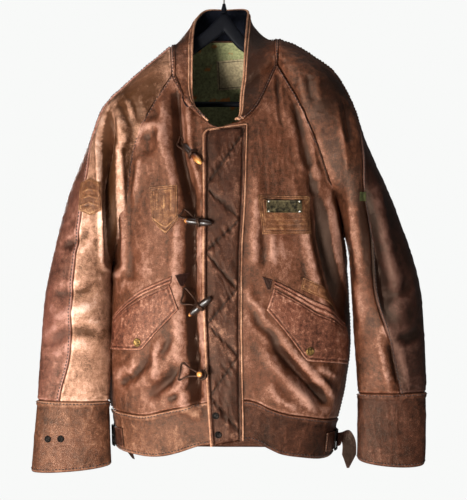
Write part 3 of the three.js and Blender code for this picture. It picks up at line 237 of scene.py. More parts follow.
def body(angle, drop):
    """Points of the body's rounded section: 0 is the centre front, pi the centre back."""
    angle, drop = np.broadcast_arrays(np.asarray(angle, float), np.asarray(drop, float))
    s, c = np.sin(angle), np.cos(angle)
    half = np.where(s < 0, HALF_RIGHT(drop), HALF_LEFT(drop))
    depth = np.where(c > 0, DEPTH_FRONT(drop), DEPTH_BACK(drop))
    return np.stack([half * powered(s, SECTION_POWER), -depth * powered(c, SECTION_POWER), -drop], -1)


def body_angle(x, drop, at_back=False):
    half = np.where(x < 0, HALF_RIGHT(drop), HALF_LEFT(drop))
    angle = np.arcsin(np.minimum(np.abs(x) / half, 1) ** (1 / SECTION_POWER))
    return np.where(x < 0, -1, 1) * np.where(at_back, math.pi - angle, angle)


def spread(point):
    """The angle round the body of a point near it, from 0 at the front to pi at the back."""
    drop = -point[2]
    half = HALF_RIGHT(drop) if point[0] < 0 else HALF_LEFT(drop)
    depth = DEPTH_FRONT(drop) if point[1] < 0 else DEPTH_BACK(drop)
    return math.atan2(
        powered(abs(point[0]) / half, 1 / SECTION_POWER), powered(-point[1] / depth, 1 / SECTION_POWER))


def sleeve_arc(ridge, seam, bulge):
    """Half of a sleeve's section, from its ridge at turn 0 to a seam, as a function, and the seam's turn."""
    end = math.pi - math.asin(min(max((seam[1] - ridge[1]) / bulge, -1), 1))
    reach = 1 - math.cos(end)

    def place(turn):
        t = (1 - np.cos(turn)) / reach
        return np.stack([
            mix(ridge[0], seam[0], t), ridge[1] + bulge * np.sin(turn), mix(ridge[2], seam[2], t)], -1)

    return place, end, reach


def sleeve_rows(sleeve, k, front_share, back_share):
    """One row of a sleeve's front panel and one of its back panel, at station k."""
    x, drop, y = sleeve["ridge"](k)
    ridge = np.array([x, y, -drop])
    front_x, front_drop = sleeve["front"](k)
    if k <= UNDERARM:
        blend = smooth(k, UNDERARM - 2, UNDERARM)
        front = body(body_angle(front_x, front_drop), front_drop)
        back_x, back_drop = sleeve["back"](k)
        back = body(body_angle(back_x, back_drop, True), back_drop)
        front[0], back[0] = front_x, back_x
        front[1] = mix(front[1], UNDERARM_Y(0), blend)
        back[1] = mix(back[1], UNDERARM_Y(0), blend)
    else:
        front = np.array([front_x, UNDERARM_Y(k - UNDERARM), -front_drop])
        back = front.copy()
    turned = np.array([1, -1, 1])
    front_arc, front_end, reach = sleeve_arc(ridge * turned, front * turned, BULGE_FRONT(k))
    back_arc, back_end, _ = sleeve_arc(ridge, back, BULGE_BACK(k))
    seam_turn = math.acos(1 - sleeve["seam"](k)[0] * reach)
    front_row = front_arc(mix(front_end, seam_turn, front_share)) * turned
    turn = mix(seam_turn, -back_end, back_share)
    back_row = np.where((turn > 0)[:, None], front_arc(turn) * turned, back_arc(-turn))
    return front_row, back_row


SEAM_STEPS = np.array([0.7, 1.5, 2.4, 3.4, 4.8, 6.4, 8.2])


def graded(count, length, start=True, end=True):
    """Shares from 0 to 1 in even steps, with finer ones next to a seam on a cloth of that length."""
    shares = np.linspace(0, 1, count + 1)
    near = SEAM_STEPS / length
    clear = near[-1] + 0.4 / count
    keep = np.ones(len(shares), bool)
    if start:
        keep &= (shares == 0) | (shares > clear)
    if end:
        keep &= (shares == 1) | (shares < 1 - clear)
    parts = [shares[keep]] + ([near] if start else []) + ([1 - near] if end else [])
    return np.sort(np.concatenate(parts))


FRONT_SHARE = graded(46, 130)
BACK_SHARE = graded(64, 200)
RAGLAN_K = UNDERARM * graded(104, 400, True, False)
SLEEVE_K = mix(UNDERARM, CUFF_STATION, graded(84, 270, False, True))[1:]
FRONT_COLUMNS = graded(72, 200)
BACK_COLUMNS = graded(120, 400)
SIDE_T = graded(86, 300, False, True)[1:]


def sleeve_panels(sleeve):
    rows = [sleeve_rows(sleeve, k, FRONT_SHARE, BACK_SHARE) for k in np.concatenate([RAGLAN_K, SLEEVE_K])]
    return np.array([r[0] for r in rows]), np.array([r[1] for r in rows])


def edge_up(raglan, side):
    """The outer edge of a front, or an edge of the back, from the waist up to the neck."""
    under = raglan[-1]
    start = float(body_angle(under[0], -under[2]))
    settled = smooth(SIDE_T, 0, 0.5)
    points = body(mix(start, side * math.pi / 2, settled), mix(-under[2], WAIST_SEAM(side * 90), SIDE_T))
    points[:, 1] = mix(under[1], 0, settled)
    return np.concatenate([points[::-1], raglan[::-1]])


def front_panel(outer, side, neck_drop):
    foot, head = -outer[0][2], -outer[-1][2]
    ease = FRONT_COLUMNS ** 0.9
    rows = []
    for edge in outer:
        rise = (foot + edge[2]) / (foot - head)
        drop = mix(WAIST_SEAM(side * mix(1, 90, ease)), neck_drop(ease), rise)
        inner = body_angle(side * CENTRE_FRONT_GAP, drop)
        share = mix(ease, FRONT_COLUMNS, smooth(rise, 0, 0.3))
        row = body(mix(inner, side * spread(edge), share), drop)
        row[-1] = edge
        rows.append(row)
    return np.array(rows)


def back_panel(right, left):
    height = right[-1][2] - right[0][2]
    to_seam = np.abs(2 * BACK_COLUMNS - 1)
    rows = []
    for edge, other in zip(right, left):
        rise = (edge[2] - right[0][2]) / height
        turn = mix(spread(edge) - math.pi, math.pi - spread(other), BACK_COLUMNS)
        side = np.where(turn < 0, -1, 1)
        foot = WAIST_SEAM(side * mix(90, 180, 1 - to_seam))
        bow = (foot + mix(right[0][2], left[0][2], BACK_COLUMNS)) * (1 - rise)
        neck_bow = NECK_BOW * rise ** 4 * (1 - to_seam ** 2)
        row = body(side * (math.pi - np.abs(turn)), mix(-edge[2], -other[2], BACK_COLUMNS) + bow + neck_bow)
        row[0], row[-1] = edge, other
        rows.append(row)
    return np.array(rows)


cloth = {}
cloth["sleeve_right_front"], cloth["sleeve_right_back"] = sleeve_panels(RIGHT_SLEEVE)
cloth["sleeve_left_front"], cloth["sleeve_left_back"] = sleeve_panels(LEFT_SLEEVE)
RAGLAN = len(RAGLAN_K)
cloth["front_right"] = front_panel(edge_up(cloth["sleeve_right_front"][:RAGLAN, 0], -1), -1, NECK_RIGHT)
cloth["front_left"] = front_panel(edge_up(cloth["sleeve_left_front"][:RAGLAN, 0], 1), 1, NECK_LEFT)
cloth["back"] = back_panel(
    edge_up(cloth["sleeve_right_back"][:RAGLAN, -1], -1), edge_up(cloth["sleeve_left_back"][:RAGLAN, -1], 1))

# Cuffs: deep bands of doubled hide, open at the foot and a little wider than the sleeve. Each is sewn to
# its sleeve's foot all round, and its own foot sags in the middle.
RIGHT_CUFF = {"outer": (-340, 903), "inner": (-197, 891), "depth": 25, "y": -46, "sag": 5}
LEFT_CUFF = {"outer": (354, 890), "inner": (235, 882), "depth": 25, "y": -46, "sag": 8}
CUFF_T = graded(34, 125)


def cuff_panel(front, back, cuff):
    top = np.concatenate([front[-1], back[-1][1:-1]])
    (outer_x, outer_drop), (inner_x, inner_drop) = cuff["outer"], cuff["inner"]
    outer, inner = top[np.abs(top[:, 0]).argmax()], top[np.abs(top[:, 0]).argmin()]
    across = (top[:, 0] - (outer[0] + inner[0]) / 2) / (outer[0] - inner[0]) * 2
    rounded = np.sqrt(np.maximum(1 - across ** 2, 0))
    forward = np.sign(top[:, 1] - mix(inner[1], outer[1], (across + 1) / 2))
    foot = np.stack([
        mix((outer_x + inner_x) / 2, outer_x, across),
        cuff["y"] + forward * cuff["depth"] * rounded,
        -(outer_drop + inner_drop) / 2 - (outer_drop - inner_drop) / 2 * across - cuff["sag"] * rounded], -1)
    return mix(top, foot, CUFF_T[:, None, None])


cloth["cuff_right"] = cuff_panel(cloth["sleeve_right_front"], cloth["sleeve_right_back"], RIGHT_CUFF)
cloth["cuff_left"] = cuff_panel(cloth["sleeve_left_front"], cloth["sleeve_left_back"], LEFT_CUFF)

# Waistband: a doubled band of hide in three pieces, sewn to the foot of the fronts and of the back. Its
# own foot is the hem, which is highest at the centre front.
BAND_T = graded(20, 75)


def band_panel(panel):
    head = panel[0]
    angle = body_angle(head[:, 0], -head[:, 2], head[:, 1] > 0)
    foot = body(angle, HEM(np.degrees(angle)))
    return mix(foot, head, BAND_T[:, None, None])


for piece in ("front_right", "front_left", "back"):
    cloth["waistband_" + piece] = band_panel(cloth[piece])

# Collar: a doubled strip of hide that stands on the neck seam, from front edge to front edge, and leans
# out from the neck. Its free edge is given at stations that go round with the seam.
COLLAR_START = 0.25
COLLAR_BULGE = 3
COLLAR_T = graded(30, 110)
FREE_EDGE_BACK, FREE_EDGE_END = 9, 19
FREE_EDGE = stations(
    (-30, 286, -84), (-48, 270, -76), (-55, 248, -73), (-56, 217, -65), (-56, 182, -51),
    (-57, 148, -31), (-56, 119, -3), (-50, 93, 32), (-34, 75, 64), (3, 73, 78),
    (42, 75, 64), (44, 97, 32), (41, 125, -3), (38, 155, -31), (36, 186, -51),
    (34, 216, -65), (30, 247, -73), (29, 271, -78), (26, 284, -82), (20, 286, -86))


def collar_panel():
    start = int(np.searchsorted(FRONT_COLUMNS, COLLAR_START))
    right = [cloth["front_right"][-1][start:], cloth["sleeve_right_front"][0][1:],
             cloth["sleeve_right_back"][0][1:]]
    left = [cloth["sleeve_left_back"][0][:-1][::-1], cloth["sleeve_left_front"][0][:-1][::-1],
            cloth["front_left"][-1][start:-1][::-1]]
    seam = np.concatenate(right + [cloth["back"][-1][1:]] + left)
    length = np.concatenate([[0], np.cumsum(np.linalg.norm(np.diff(seam, axis=0), axis=1))])
    middle = sum(len(part) for part in right) - 1 + int(np.searchsorted(BACK_COLUMNS, 0.5))
    back, whole = length[middle], length[-1]
    station = np.where(
        length <= back, FREE_EDGE_BACK * length / back,
        mix(FREE_EDGE_BACK, FREE_EDGE_END, (length - back) / (whole - back)))
    x, drop, y = FREE_EDGE(station)
    t = COLLAR_T[:, None, None]
    rows = mix(seam, np.stack([x, y, -drop], -1), t)
    outward = unit(rows * (1, 1, 0))
    return rows + outward * np.sin(math.pi * t) * COLLAR_BULGE


cloth["collar"] = collar_panel()

# Sewing. Pieces that meet share the points of their edge and one outward direction there, so every seam
# is closed. The hide has set in folds where the arms bent and where it hangs over itself.
OUTWARD = {
    "front_right": -1, "front_left": 1, "back": -1, "collar": -1,
    "sleeve_right_front": 1, "sleeve_right_back": 1, "sleeve_left_front": -1, "sleeve_left_back": -1,
    "waistband_front_right": -1, "waistband_front_left": 1, "waistband_back": -1,
    "cuff_right": 1, "cuff_left": -1,
}
ROUND = ("cuff_right", "cuff_left")


def cross_normals(rows, closed):
    if closed:
        left, right = np.roll(rows, 1, 1), np.roll(rows, -1, 1)
    else:
        left = np.concatenate([rows[:, :1], rows[:, :-1]], 1)
        right = np.concatenate([rows[:, 1:], rows[:, -1:]], 1)
    up = np.concatenate([rows[:1], rows[:-1]])
    down = np.concatenate([rows[1:], rows[-1:]])
    return unit(np.cross(right - left, down - up))


FOLDED_BACK, FOLD_DOWN = 0.45, 0.3


def shared_normals(pieces):
    """Outward directions of all pieces, one for all the points that lie in the same place. Where an edge is
    turned back on itself, the directions of its two sides cancel, and it points down."""
    flat = np.concatenate([rows.reshape(-1, 3) for rows in pieces.values()])
    each = np.concatenate([
        (cross_normals(rows, name in ROUND) * OUTWARD[name]).reshape(-1, 3) for name, rows in pieces.items()])
    _, place, count = np.unique(np.round(flat, 2), axis=0, return_inverse=True, return_counts=True)
    place = place.ravel()
    total = np.zeros((len(count), 3))
    np.add.at(total, place, each)
    folded = np.linalg.norm(total, axis=1) < FOLDED_BACK * count
    total[folded, 2] = -np.abs(total[folded, 2]) - FOLD_DOWN * count[folded]
    total /= np.linalg.norm(total, axis=1, keepdims=True)
    made, start = {}, 0
    for name, rows in pieces.items():
        size = rows.shape[0] * rows.shape[1]
        made[name] = total[place[start:start + size]].reshape(rows.shape)
        start += size
    return made


def smooth_line(points, count=24):
    """Points of a smooth line through given ones."""
    points = np.array(points, float)
    at = np.linspace(0, len(points) - 1, count)
    return np.stack([curve(list(enumerate(values)))(at) for values in points.T], -1)


def to_line(line, x, drop):
    """Distance from a line, above zero on the viewer's right where it runs down, and the share along it."""
    best, side, share = np.full(x.shape, np.inf), np.ones(x.shape), np.zeros(x.shape)
    for i, (a, b) in enumerate(zip(line[:-1], line[1:])):
        step = b - a
        u = np.clip(((x - a[0]) * step[0] + (drop - a[1]) * step[1]) / (step @ step), 0, 1)
        off_x, off_drop = x - a[0] - u * step[0], drop - a[1] - u * step[1]
        distance = np.hypot(off_x, off_drop)
        near = distance < best
        best = np.where(near, distance, best)
        side = np.where(near, np.sign(off_x * step[1] - off_drop * step[0]), side)
        share = np.where(near, (i + u) / (len(line) - 1), share)
    return best * side, share


# Each fold has its height (a trough's is below zero), the width of each flank, the share of the height left
# at each end, and points (x, drop) of its line.
FRONT_FOLDS = [
    (-30, 7, 10, 0.2, 0.6, [(-201, 276), (-203, 323), (-200, 401), (-198, 471), (-197, 536)]),
    (-20, 13, 8, 0, 0, [(-84, 215), (-79, 267), (-73, 345), (-61, 402), (-48, 466)]),
    (-18, 14, 6, 0, 1, [(-50, 344), (-51, 481), (-50, 600), (-46, 686), (-42, 763)]),
    (6, 9, 9, 0, 0, [(-148, 356), (-145, 312), (-129, 297), (-112, 304), (-107, 335), (-112, 377)]),
    (-5, 9, 9, 0, 0, [(-133, 306), (-133, 330), (-131, 356)]),
    (5, 7, 7, 0, 0, [(-148, 344), (-150, 384), (-159, 441)]),
    (-5, 8, 6, 0, 0, [(-189, 249), (-177, 265), (-166, 288), (-158, 322)]),
    (-5, 8, 6, 0, 0, [(-199, 266), (-193, 303), (-185, 322), (-182, 345)]),
    (-4, 6, 6, 0, 0, [(-162, 241), (-152, 272), (-152, 303)]),
    (5, 8, 8, 0, 0, [(-177, 280), (-169, 310), (-177, 340)]),
    (-5, 14, 14, 0, 0, [(-158, 506), (-163, 546), (-160, 575)]),
    (6, 8, 8, 0, 0, [(-110, 660), (-113, 686), (-118, 723), (-113, 747)]),
    (-6, 9, 7, 0, 0, [(-119, 686), (-150, 725), (-170, 743), (-180, 758)]),
    (-10, 12, 9, 0, 0, [(-56, 667), (-80, 723), (-98, 743), (-118, 760), (-132, 778)]),
    (-4, 6, 6, 0, 0, [(-90, 665), (-105, 690), (-110, 703)]),
    (4, 8, 8, 0, 0, [(-145, 703), (-168, 739)]),
    (-5, 7, 7, 0, 0.3, [(-47, 735), (-80, 763), (-109, 771)]),
    (-3, 3.5, 3.5, 0, 0, [(94, 192), (94, 237), (98, 277), (105, 322)]),
    (-7, 7, 6, 0, 0.5, [(119, 246), (130, 285), (137, 317), (146, 359), (156, 411)]),
    (-26, 16, 12, 0.3, 0, [(156, 404), (173, 473), (185, 527), (198, 572), (216, 627), (220, 677)]),
    (7, 9, 9, 0, 0, [(188, 437), (189, 498), (202, 551), (215, 596)]),
    (7, 9, 9, 0, 0, [(227, 419), (228, 480), (234, 539), (236, 628), (237, 689)]),
    (-18, 12, 14, 0, 0, [(238, 358), (245, 450), (256, 517), (272, 583), (286, 672)]),
    (-12, 8, 8, 0.4, 0.5, [(284, 668), (296, 715), (305, 756)]),
    (5, 10, 10, 0, 0, [(57, 344), (55, 469), (59, 551)]),
    (-5, 8, 8, 0, 0, [(67, 474), (69, 551)]),
    (-4, 6, 6, 0, 0, [(45, 600), (59, 638), (83, 660), (102, 679)]),
    (4, 7, 7, 0, 0, [(39, 569), (45, 595), (61, 614), (74, 619)]),
    (-16, 11, 8, 0, 0, [(66, 648), (105, 698), (134, 730), (167, 766), (184, 795)]),
    (6, 8, 8, 0, 0, [(156, 714), (203, 740)]),
    (5, 7, 7, 0, 0, [(141, 740), (169, 743), (191, 764)]),
    (5, 9, 9, 0, 0, [(76, 734), (86, 758), (108, 779), (139, 788)]),
    (5, 9, 9, 0, 0, [(159, 280), (168, 334), (185, 379), (201, 426)]),
    (5, 7, 7, 0, 0, [(198, 288), (209, 337), (215, 398)]),
    (-5, 7, 7, 0, 0, [(147, 200), (149, 235), (156, 266)]),
    (-6, 7, 7, 0, 0, [(209, 246), (216, 294), (221, 336)]),
    (-6, 9, 14, 0, 0, [(-214, 560), (-240, 585), (-276, 592), (-312, 584)]),
    (-5, 8, 12, 0, 0, [(-214, 668), (-240, 655), (-282, 662), (-318, 690)]),
    (5, 9, 9, 0, 0, [(-222, 610), (-262, 622), (-306, 640)]),
    (-5, 8, 8, 0, 0, [(-226, 470), (-252, 500), (-286, 512)]),
    (-5, 8, 8, 0, 0, [(330, 560), (304, 590), (268, 600)]),
    (-5, 8, 8, 0, 0, [(346, 650), (322, 668), (292, 662)]),
]
BACK_FOLDS = [
    (-11, 12, 10, 0, 0, [(-150, 300), (-170, 400), (-186, 490)]),
    (-11, 10, 12, 0, 0, [(150, 290), (174, 390), (200, 480)]),
    (-9, 24, 14, 0, 0, [(-40, 300), (-58, 460), (-46, 620), (-30, 740)]),
    (-8, 14, 22, 0, 0, [(60, 340), (76, 500), (62, 640), (70, 760)]),
    (5, 14, 14, 0, 0, [(0, 280), (8, 420), (4, 560)]),
    (-6, 10, 12, 0, 0, [(-120, 560), (-70, 640), (-20, 700), (40, 730)]),
    (-6, 12, 9, 0, 0, [(128, 600), (90, 680), (40, 740)]),
    (6, 10, 10, 0, 0, [(-150, 640), (-110, 700), (-60, 745)]),
    (-7, 9, 13, 0, 0, [(-306, 590), (-268, 612), (-226, 600)]),
    (-6, 9, 12, 0, 0, [(-316, 676), (-272, 690), (-222, 672)]),
    (5, 9, 9, 0, 0, [(-312, 632), (-270, 648), (-226, 640)]),
    (-7, 9, 13, 0, 0, [(244, 590), (290, 614), (334, 608)]),
    (-6, 9, 12, 0, 0, [(244, 680), (300, 698), (346, 684)]),
    (5, 9, 9, 0, 0, [(246, 640), (296, 656), (340, 644)]),
]
FOLD_REACH, FOLD_POWER, FOLD_END = 3.2, 1.7, 0.3
BANK_HIGH, BANK_AT, BANK_WIDE = 0.3, 2.1, 0.8
SIDE_SWELL, SIDE_RIGHT, SIDE_LEFT = 14, -212, -160


def bump_at(distance, at, wide):
    """1 on a line at a distance, less and less on both sides of it."""
    return np.exp(-((distance - at) / wide) ** 2)


def fold_height(rows, normals):
    """Height of the folds. A trough has a low bank on both sides, and behind the arm the right side of the
    body swells out between chest and waist."""
    x, y, drop = rows[..., 0].ravel(), rows[..., 1].ravel(), -rows[..., 2].ravel()
    facing = normals[..., 1].ravel()
    height = np.zeros(x.shape)
    for folds, here in ((FRONT_FOLDS, facing < 0), (BACK_FOLDS, facing >= 0)):
        for rise, wide_left, wide_right, start, end, points in folds:
            line = smooth_line(points)
            reach = FOLD_REACH * max(wide_left, wide_right)
            near = here & (x > line[:, 0].min() - reach) & (x < line[:, 0].max() + reach)
            near &= (drop > line[:, 1].min() - reach) & (drop < line[:, 1].max() + reach)
            distance, share = to_line(line, x[near], drop[near])
            widths = np.abs(distance) / np.where(distance < 0, wide_left, wide_right)
            taper = mix(start, 1, smooth(share, 0, FOLD_END)) * mix(end, 1, smooth(1 - share, 0, FOLD_END))
            shape = np.exp(-widths ** FOLD_POWER)
            if rise < 0:
                shape -= BANK_HIGH * bump_at(widths, BANK_AT, BANK_WIDE)
            height[near] += rise * taper * shape
    height *= np.minimum(np.abs(facing) * 1.5, 1)
    behind = smooth(y, 0, 18) * (1 - smooth(y, 34, 62))
    behind *= smooth(drop, 430, 520) * (1 - smooth(drop, 770, 803))
    height += SIDE_SWELL * behind * ((x < SIDE_LEFT) & (x > SIDE_RIGHT))
    return height.reshape(rows.shape[:2])


def noise_at(points, stretch, seed):
    where = points.reshape(-1, 3) / stretch + seed
    return np.array([noise.noise(Vector(p)) for p in where]).reshape(points.shape[:2])


def ridges(points, stretch, seed):
    """Sharp-backed wrinkles from noise, 0 in the valleys to 1 on the backs. Stretch is their size in mm."""
    return 1 - np.minimum(np.abs(noise_at(points, stretch, seed)) * 2.6, 1)


def swell(points, stretch, seed):
    """Smooth lumps from noise, about -1 to 1."""
    return noise_at(points, stretch, seed) * 2


base_normals = shared_normals(cloth)
cloth = {name: rows + base_normals[name] * fold_height(rows, base_normals[name])[..., None]
         for name, rows in cloth.items()}
folded_normals = shared_normals(cloth)


def arc(rows, axis):
    steps = np.linalg.norm(np.diff(rows, axis=axis), axis=-1)
    zero = np.zeros_like(steps.take([0], axis))
    return np.cumsum(np.concatenate([zero, steps], axis), axis)


NO_SEAM = 999.0


def seam_distances(rows, closed=False):
    """Distances along the cloth from its first and last columns and first and last rows."""
    along, up = arc(rows, 1), arc(rows, 0)
    far = np.full(along.shape, NO_SEAM)
    sides = (far, far) if closed else (along, along[:, -1:] - along)
    return [*sides, up, up[-1:] - up]


SEAM_ROLL, SEAM_WIDE = 2.0, 1.6
TOP_BAND, BAND_RISE = 8, 1.5
TOPSTITCH, STITCH_SINK = 6, 0.5


def seam_height(distance, raised):
    """Height of cloth near a seam: it rolls in at the seam, and the side with the turned-in edges under it
    stands up in a band, with a groove along its stitches."""
    height = -SEAM_ROLL * np.exp(-(distance / SEAM_WIDE) ** 1.5)
    if raised:
        height += BAND_RISE * smooth(distance, 0.2, 2.6) * (1 - smooth(distance, TOP_BAND, TOP_BAND + 3))
        height -= STITCH_SINK * bump_at(distance, TOPSTITCH, 0.9)
    return height


def loosened(values, times):
    """Values averaged with their neighbours, so that what is left out is their fine part."""
    for _ in range(times):
        for axis in (0, 1):
            order = np.arange(values.shape[axis])
            before = values.take(np.maximum(order - 1, 0), axis)
            after = values.take(np.minimum(order + 1, order[-1]), axis)
            values = (before + 2 * values + after) / 4
    return values


BACKWARDS = [0, 3, 2, 1]


def quads_of(numbers):
    """The faces of a grid of point numbers."""
    corners = [numbers[:-1, :-1], numbers[:-1, 1:], numbers[1:, 1:], numbers[1:, :-1]]
    return np.stack(corners, -1).reshape(-1, 4)


def put_in(name, points, faces, material):
    """Makes an object from points in millimetres, on the jacket's body."""
    mesh = bpy.data.meshes.new(name)
    mesh.from_pydata((points * MM).tolist(), [], faces)
    mesh.materials.append(material)
    mesh.shade_smooth()
    made = bpy.data.objects.new(name, mesh)
    bpy.context.collection.objects.link(made)
    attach(made, "root")
    return made


def stands_for(made, node):
    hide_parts(node)


def make_wall(name, outer, inner, closed, flip, material, **attributes):
    """A sheet of cloth as a closed wall between two grids of points, with values on its points."""
    numbers = np.arange(outer.shape[0] * outer.shape[1]).reshape(outer.shape[:2])
    if closed:
        numbers = np.concatenate([numbers, numbers[:, :1]], 1)
    under = numbers + outer.shape[0] * outer.shape[1]
    quads = [quads_of(numbers), quads_of(under)[:, BACKWARDS],
             quads_of(np.stack([numbers[0], under[0]]))[:, BACKWARDS],
             quads_of(np.stack([numbers[-1], under[-1]]))]
    if not closed:
        quads.append(quads_of(np.stack([numbers[:, 0], under[:, 0]])))
        quads.append(quads_of(np.stack([numbers[:, -1], under[:, -1]]))[:, BACKWARDS])
    faces = np.concatenate(quads)
    if flip:
        faces = faces[:, ::-1]
    points = np.concatenate([outer.reshape(-1, 3), inner.reshape(-1, 3)])
    made = put_in(name + "_cloth", points, faces.tolist(), material)
    for key, values in attributes.items():
        data = made.data.attributes.new(key, "FLOAT", "POINT").data
        data.foreach_set("value", np.tile(values.ravel(), 2).astype(np.float32))
    made.data.update()
    made.data.set_sharp_from_angle(angle=math.radians(50))
    return made


def leather(name, deep, middle, light, ruddy, grain=2.4, rough=0.38, crackle=0.1, shine=0.4):
    """Cowhide, drum dyed, waxed and rubbed. It is bleached where it is rubbed, and drawn darker in its
    creases as painted shade and lighter on fold ridges as painted highlight.
    Its tone clouds over about 60 mm, with 8 mm blots and cracks 9 mm apart. Real grain is half a millimetre,
    drawn here 2.4 to 3 mm wide, as coarse as it needs to show."""
    made, tree, shader = new_material(
        name, Roughness=rough, Specular_IOR_Level=shine, Specular_Tint=linear("#f2cdb4"))
    place = add_node(tree, "ShaderNodeTexCoord").outputs["Object"]
    wear = add_node(tree, "ShaderNodeAttribute", {"attribute_name": "wear"}).outputs["Fac"]
    clouds = add_node(tree, "ShaderNodeTexNoise", Vector=place, Scale=17, Detail=5, Roughness=0.62)
    blots = add_node(tree, "ShaderNodeTexNoise", Vector=place, Scale=120, Detail=6, Roughness=0.78)
    bent = add_node(tree, "ShaderNodeVectorMath", {"operation": "MULTIPLY_ADD"},
                    i0=blots.outputs["Color"], i1=(0.004,) * 3, i2=place)
    cracks = add_node(tree, "ShaderNodeTexVoronoi", {"feature": "DISTANCE_TO_EDGE"},
                      Vector=bent.outputs[0], Scale=110)
    pores = add_node(tree, "ShaderNodeTexVoronoi", {"feature": "DISTANCE_TO_EDGE"},
                     Vector=place, Scale=1000 / grain)
    lines = add_node(tree, "ShaderNodeMapRange", {"clamp": True}, Value=cracks.outputs["Distance"],
                     i1=0.0, i2=0.12, i3=-crackle, i4=0.0).outputs[0]
    spots = add_node(tree, "ShaderNodeMapRange", {"clamp": True}, Value=pores.outputs["Distance"],
                     i1=0.0, i2=0.2, i3=-0.16, i4=0.05).outputs[0]
    # The wear attribute lightens rubbed seams and fold ridges as wear and painted highlight, and darkens
    # creases and fold troughs as painted shade.
    tone = -0.05
    for part, weight in ((clouds.outputs["Fac"], 1.1), (blots.outputs["Fac"], 1.3), (wear, 0.38),
                         (lines, 0.35), (spots, 1.0)):
        tone = add_node(tree, "ShaderNodeMath", {"operation": "MULTIPLY_ADD"},
                        i0=part, i1=weight, i2=tone).outputs[0]
    tone = add_node(tree, "ShaderNodeMath", {"use_clamp": True}, i0=tone, i1=-0.74).outputs[0]
    ramp = add_node(tree, "ShaderNodeValToRGB", Fac=tone)
    colours = ramp.color_ramp.elements
    colours[0].position, colours[0].color = 0.05, linear(deep)
    colours[1].position, colours[1].color = 0.95, linear(light)
    colours.new(0.5).color = linear(middle)
    flush = add_node(tree, "ShaderNodeTexNoise", {"noise_dimensions": "4D"},
                     Vector=place, W=3.7, Scale=11, Detail=3)
    share = add_node(tree, "ShaderNodeMapRange", {"clamp": True}, Value=flush.outputs["Fac"],
                     i1=0.5, i2=0.72, i3=0.0, i4=0.45).outputs[0]
    blend = add_node(tree, "ShaderNodeMix", {"data_type": "RGBA", "blend_type": "MIX"},
                     i0=share, i6=ramp.outputs["Color"], i7=linear(ruddy)).outputs[2]
    gloss = add_node(tree, "ShaderNodeMapRange", {"clamp": True}, Value=tone,
                     i1=0.0, i2=0.8, i3=rough + 0.06, i4=rough).outputs[0]
    relief = lines
    for part, weight in ((blots.outputs["Fac"], 0.7), (spots, 2.0)):
        relief = add_node(tree, "ShaderNodeMath", {"operation": "MULTIPLY_ADD"},
                          i0=part, i1=weight, i2=relief).outputs[0]
    bump = add_node(tree, "ShaderNodeBump", Height=relief, Strength=0.55, Distance=0.0011)
    tree.links.new(blend, shader.inputs["Base Color"])
    tree.links.new(gloss, shader.inputs["Roughness"])
    tree.links.new(bump.outputs["Normal"], shader.inputs["Normal"])
    return made


def hung(rows, closed=False):
    """Measures the width and length of a piece's cut along its grid, before the wrinkles are put in."""
    if closed:
        rows = np.concatenate([rows, rows[:, :1]], 1)
    width, length = arc(rows, 1)[:, -1].max() * MM, arc(rows, 0)[-1].max() * MM


# The collar's front ends stand a little off the chest. Each leather piece is then made from its cut,
# with wrinkles, puckered and rolled seams, wear, and painted shade and highlight, in a hide of its own
# colour.
COLLAR_LIFT = 8
lifted = smooth(-cloth["collar"][..., 2], 222, 268) * (cloth["collar"][..., 1] < 0)
cloth["collar"][..., 1] -= COLLAR_LIFT * lifted
fine = {}
WRINKLE, CREASE, FINE_CREASE, PUCKER = 1.0, 0.8, 0.22, 0.45
CALM, RUBBED_AT, RUBBED_WIDE = 14, 2.6, 1.5
ALONG_BODY, ALONG_SLEEVE = (14, 14, 55), (40, 40, 13)


def sew(name, material, raised=(), wrinkle=WRINKLE, across=ALONG_BODY, painted_light_and_fade=()):
    """Makes one leather piece from its cut: wrinkles, seams, wear with painted shade and highlight, and the
    wall's thickness. Patches of painted highlight and painted shade, partly fading, are x, drop, half width,
    half height and how much lighter, or below zero darker, they are."""
    rows, normals = cloth[name], folded_normals[name]
    closed = name in ROUND
    distances = seam_distances(rows, closed)
    calm = smooth(np.minimum.reduce(distances), 0, CALM)
    creases = CREASE * (ridges(rows, across, 7.7) ** 2 - 0.35)
    creases += FINE_CREASE * (ridges(rows, (9, 9, 12), 1.3) ** 2 - 0.3)
    height = wrinkle * swell(rows, (46, 46, 110), 3.1) + wrinkle * calm * creases
    rubbed = np.zeros(height.shape)
    for number, distance in enumerate(distances):
        if distance.min() < NO_SEAM:
            height += seam_height(distance, number in raised)
            pucker = swell(rows, (7, 7, 7), 9.2 + number)
            height += PUCKER * pucker * smooth(distance, 0, 3) * (1 - smooth(distance, 8, 18))
            rubbed += (1.3 if number in raised else 0.5) * bump_at(distance, RUBBED_AT, RUBBED_WIDE)
    moved = rows + normals * height[..., None]
    folds = fold_height(rows, normals)
    relief = folds + height
    # Tone: hollows of the relief are painted darker and its backs lighter, as painted shade and highlight,
    # with real rubbing along the seams. Fold ridges get a painted highlight and fold troughs a deep painted
    # shade.
    wear = np.clip((relief - loosened(relief, 14)) / 2.4, -1, 0.8) + rubbed
    wear += 0.3 * smooth(folds, 2, 12) - 2.2 * smooth(-folds, 3, 15)
    # Patches of painted highlight and painted shade, partly fading.
    for x, drop, wide, tall, amount in painted_light_and_fade:
        wear += amount * np.exp(-((rows[..., 0] - x) / wide) ** 2 - ((-rows[..., 2] - drop) / tall) ** 2)
    fine[name] = moved
    inner = moved - normals * LEATHER
    made = make_wall(name, moved, inner, closed, OUTWARD[name] < 0, material, wear=np.clip(wear, -2.5, 1.5))
    hung(rows, closed)
    stands_for(made, name)


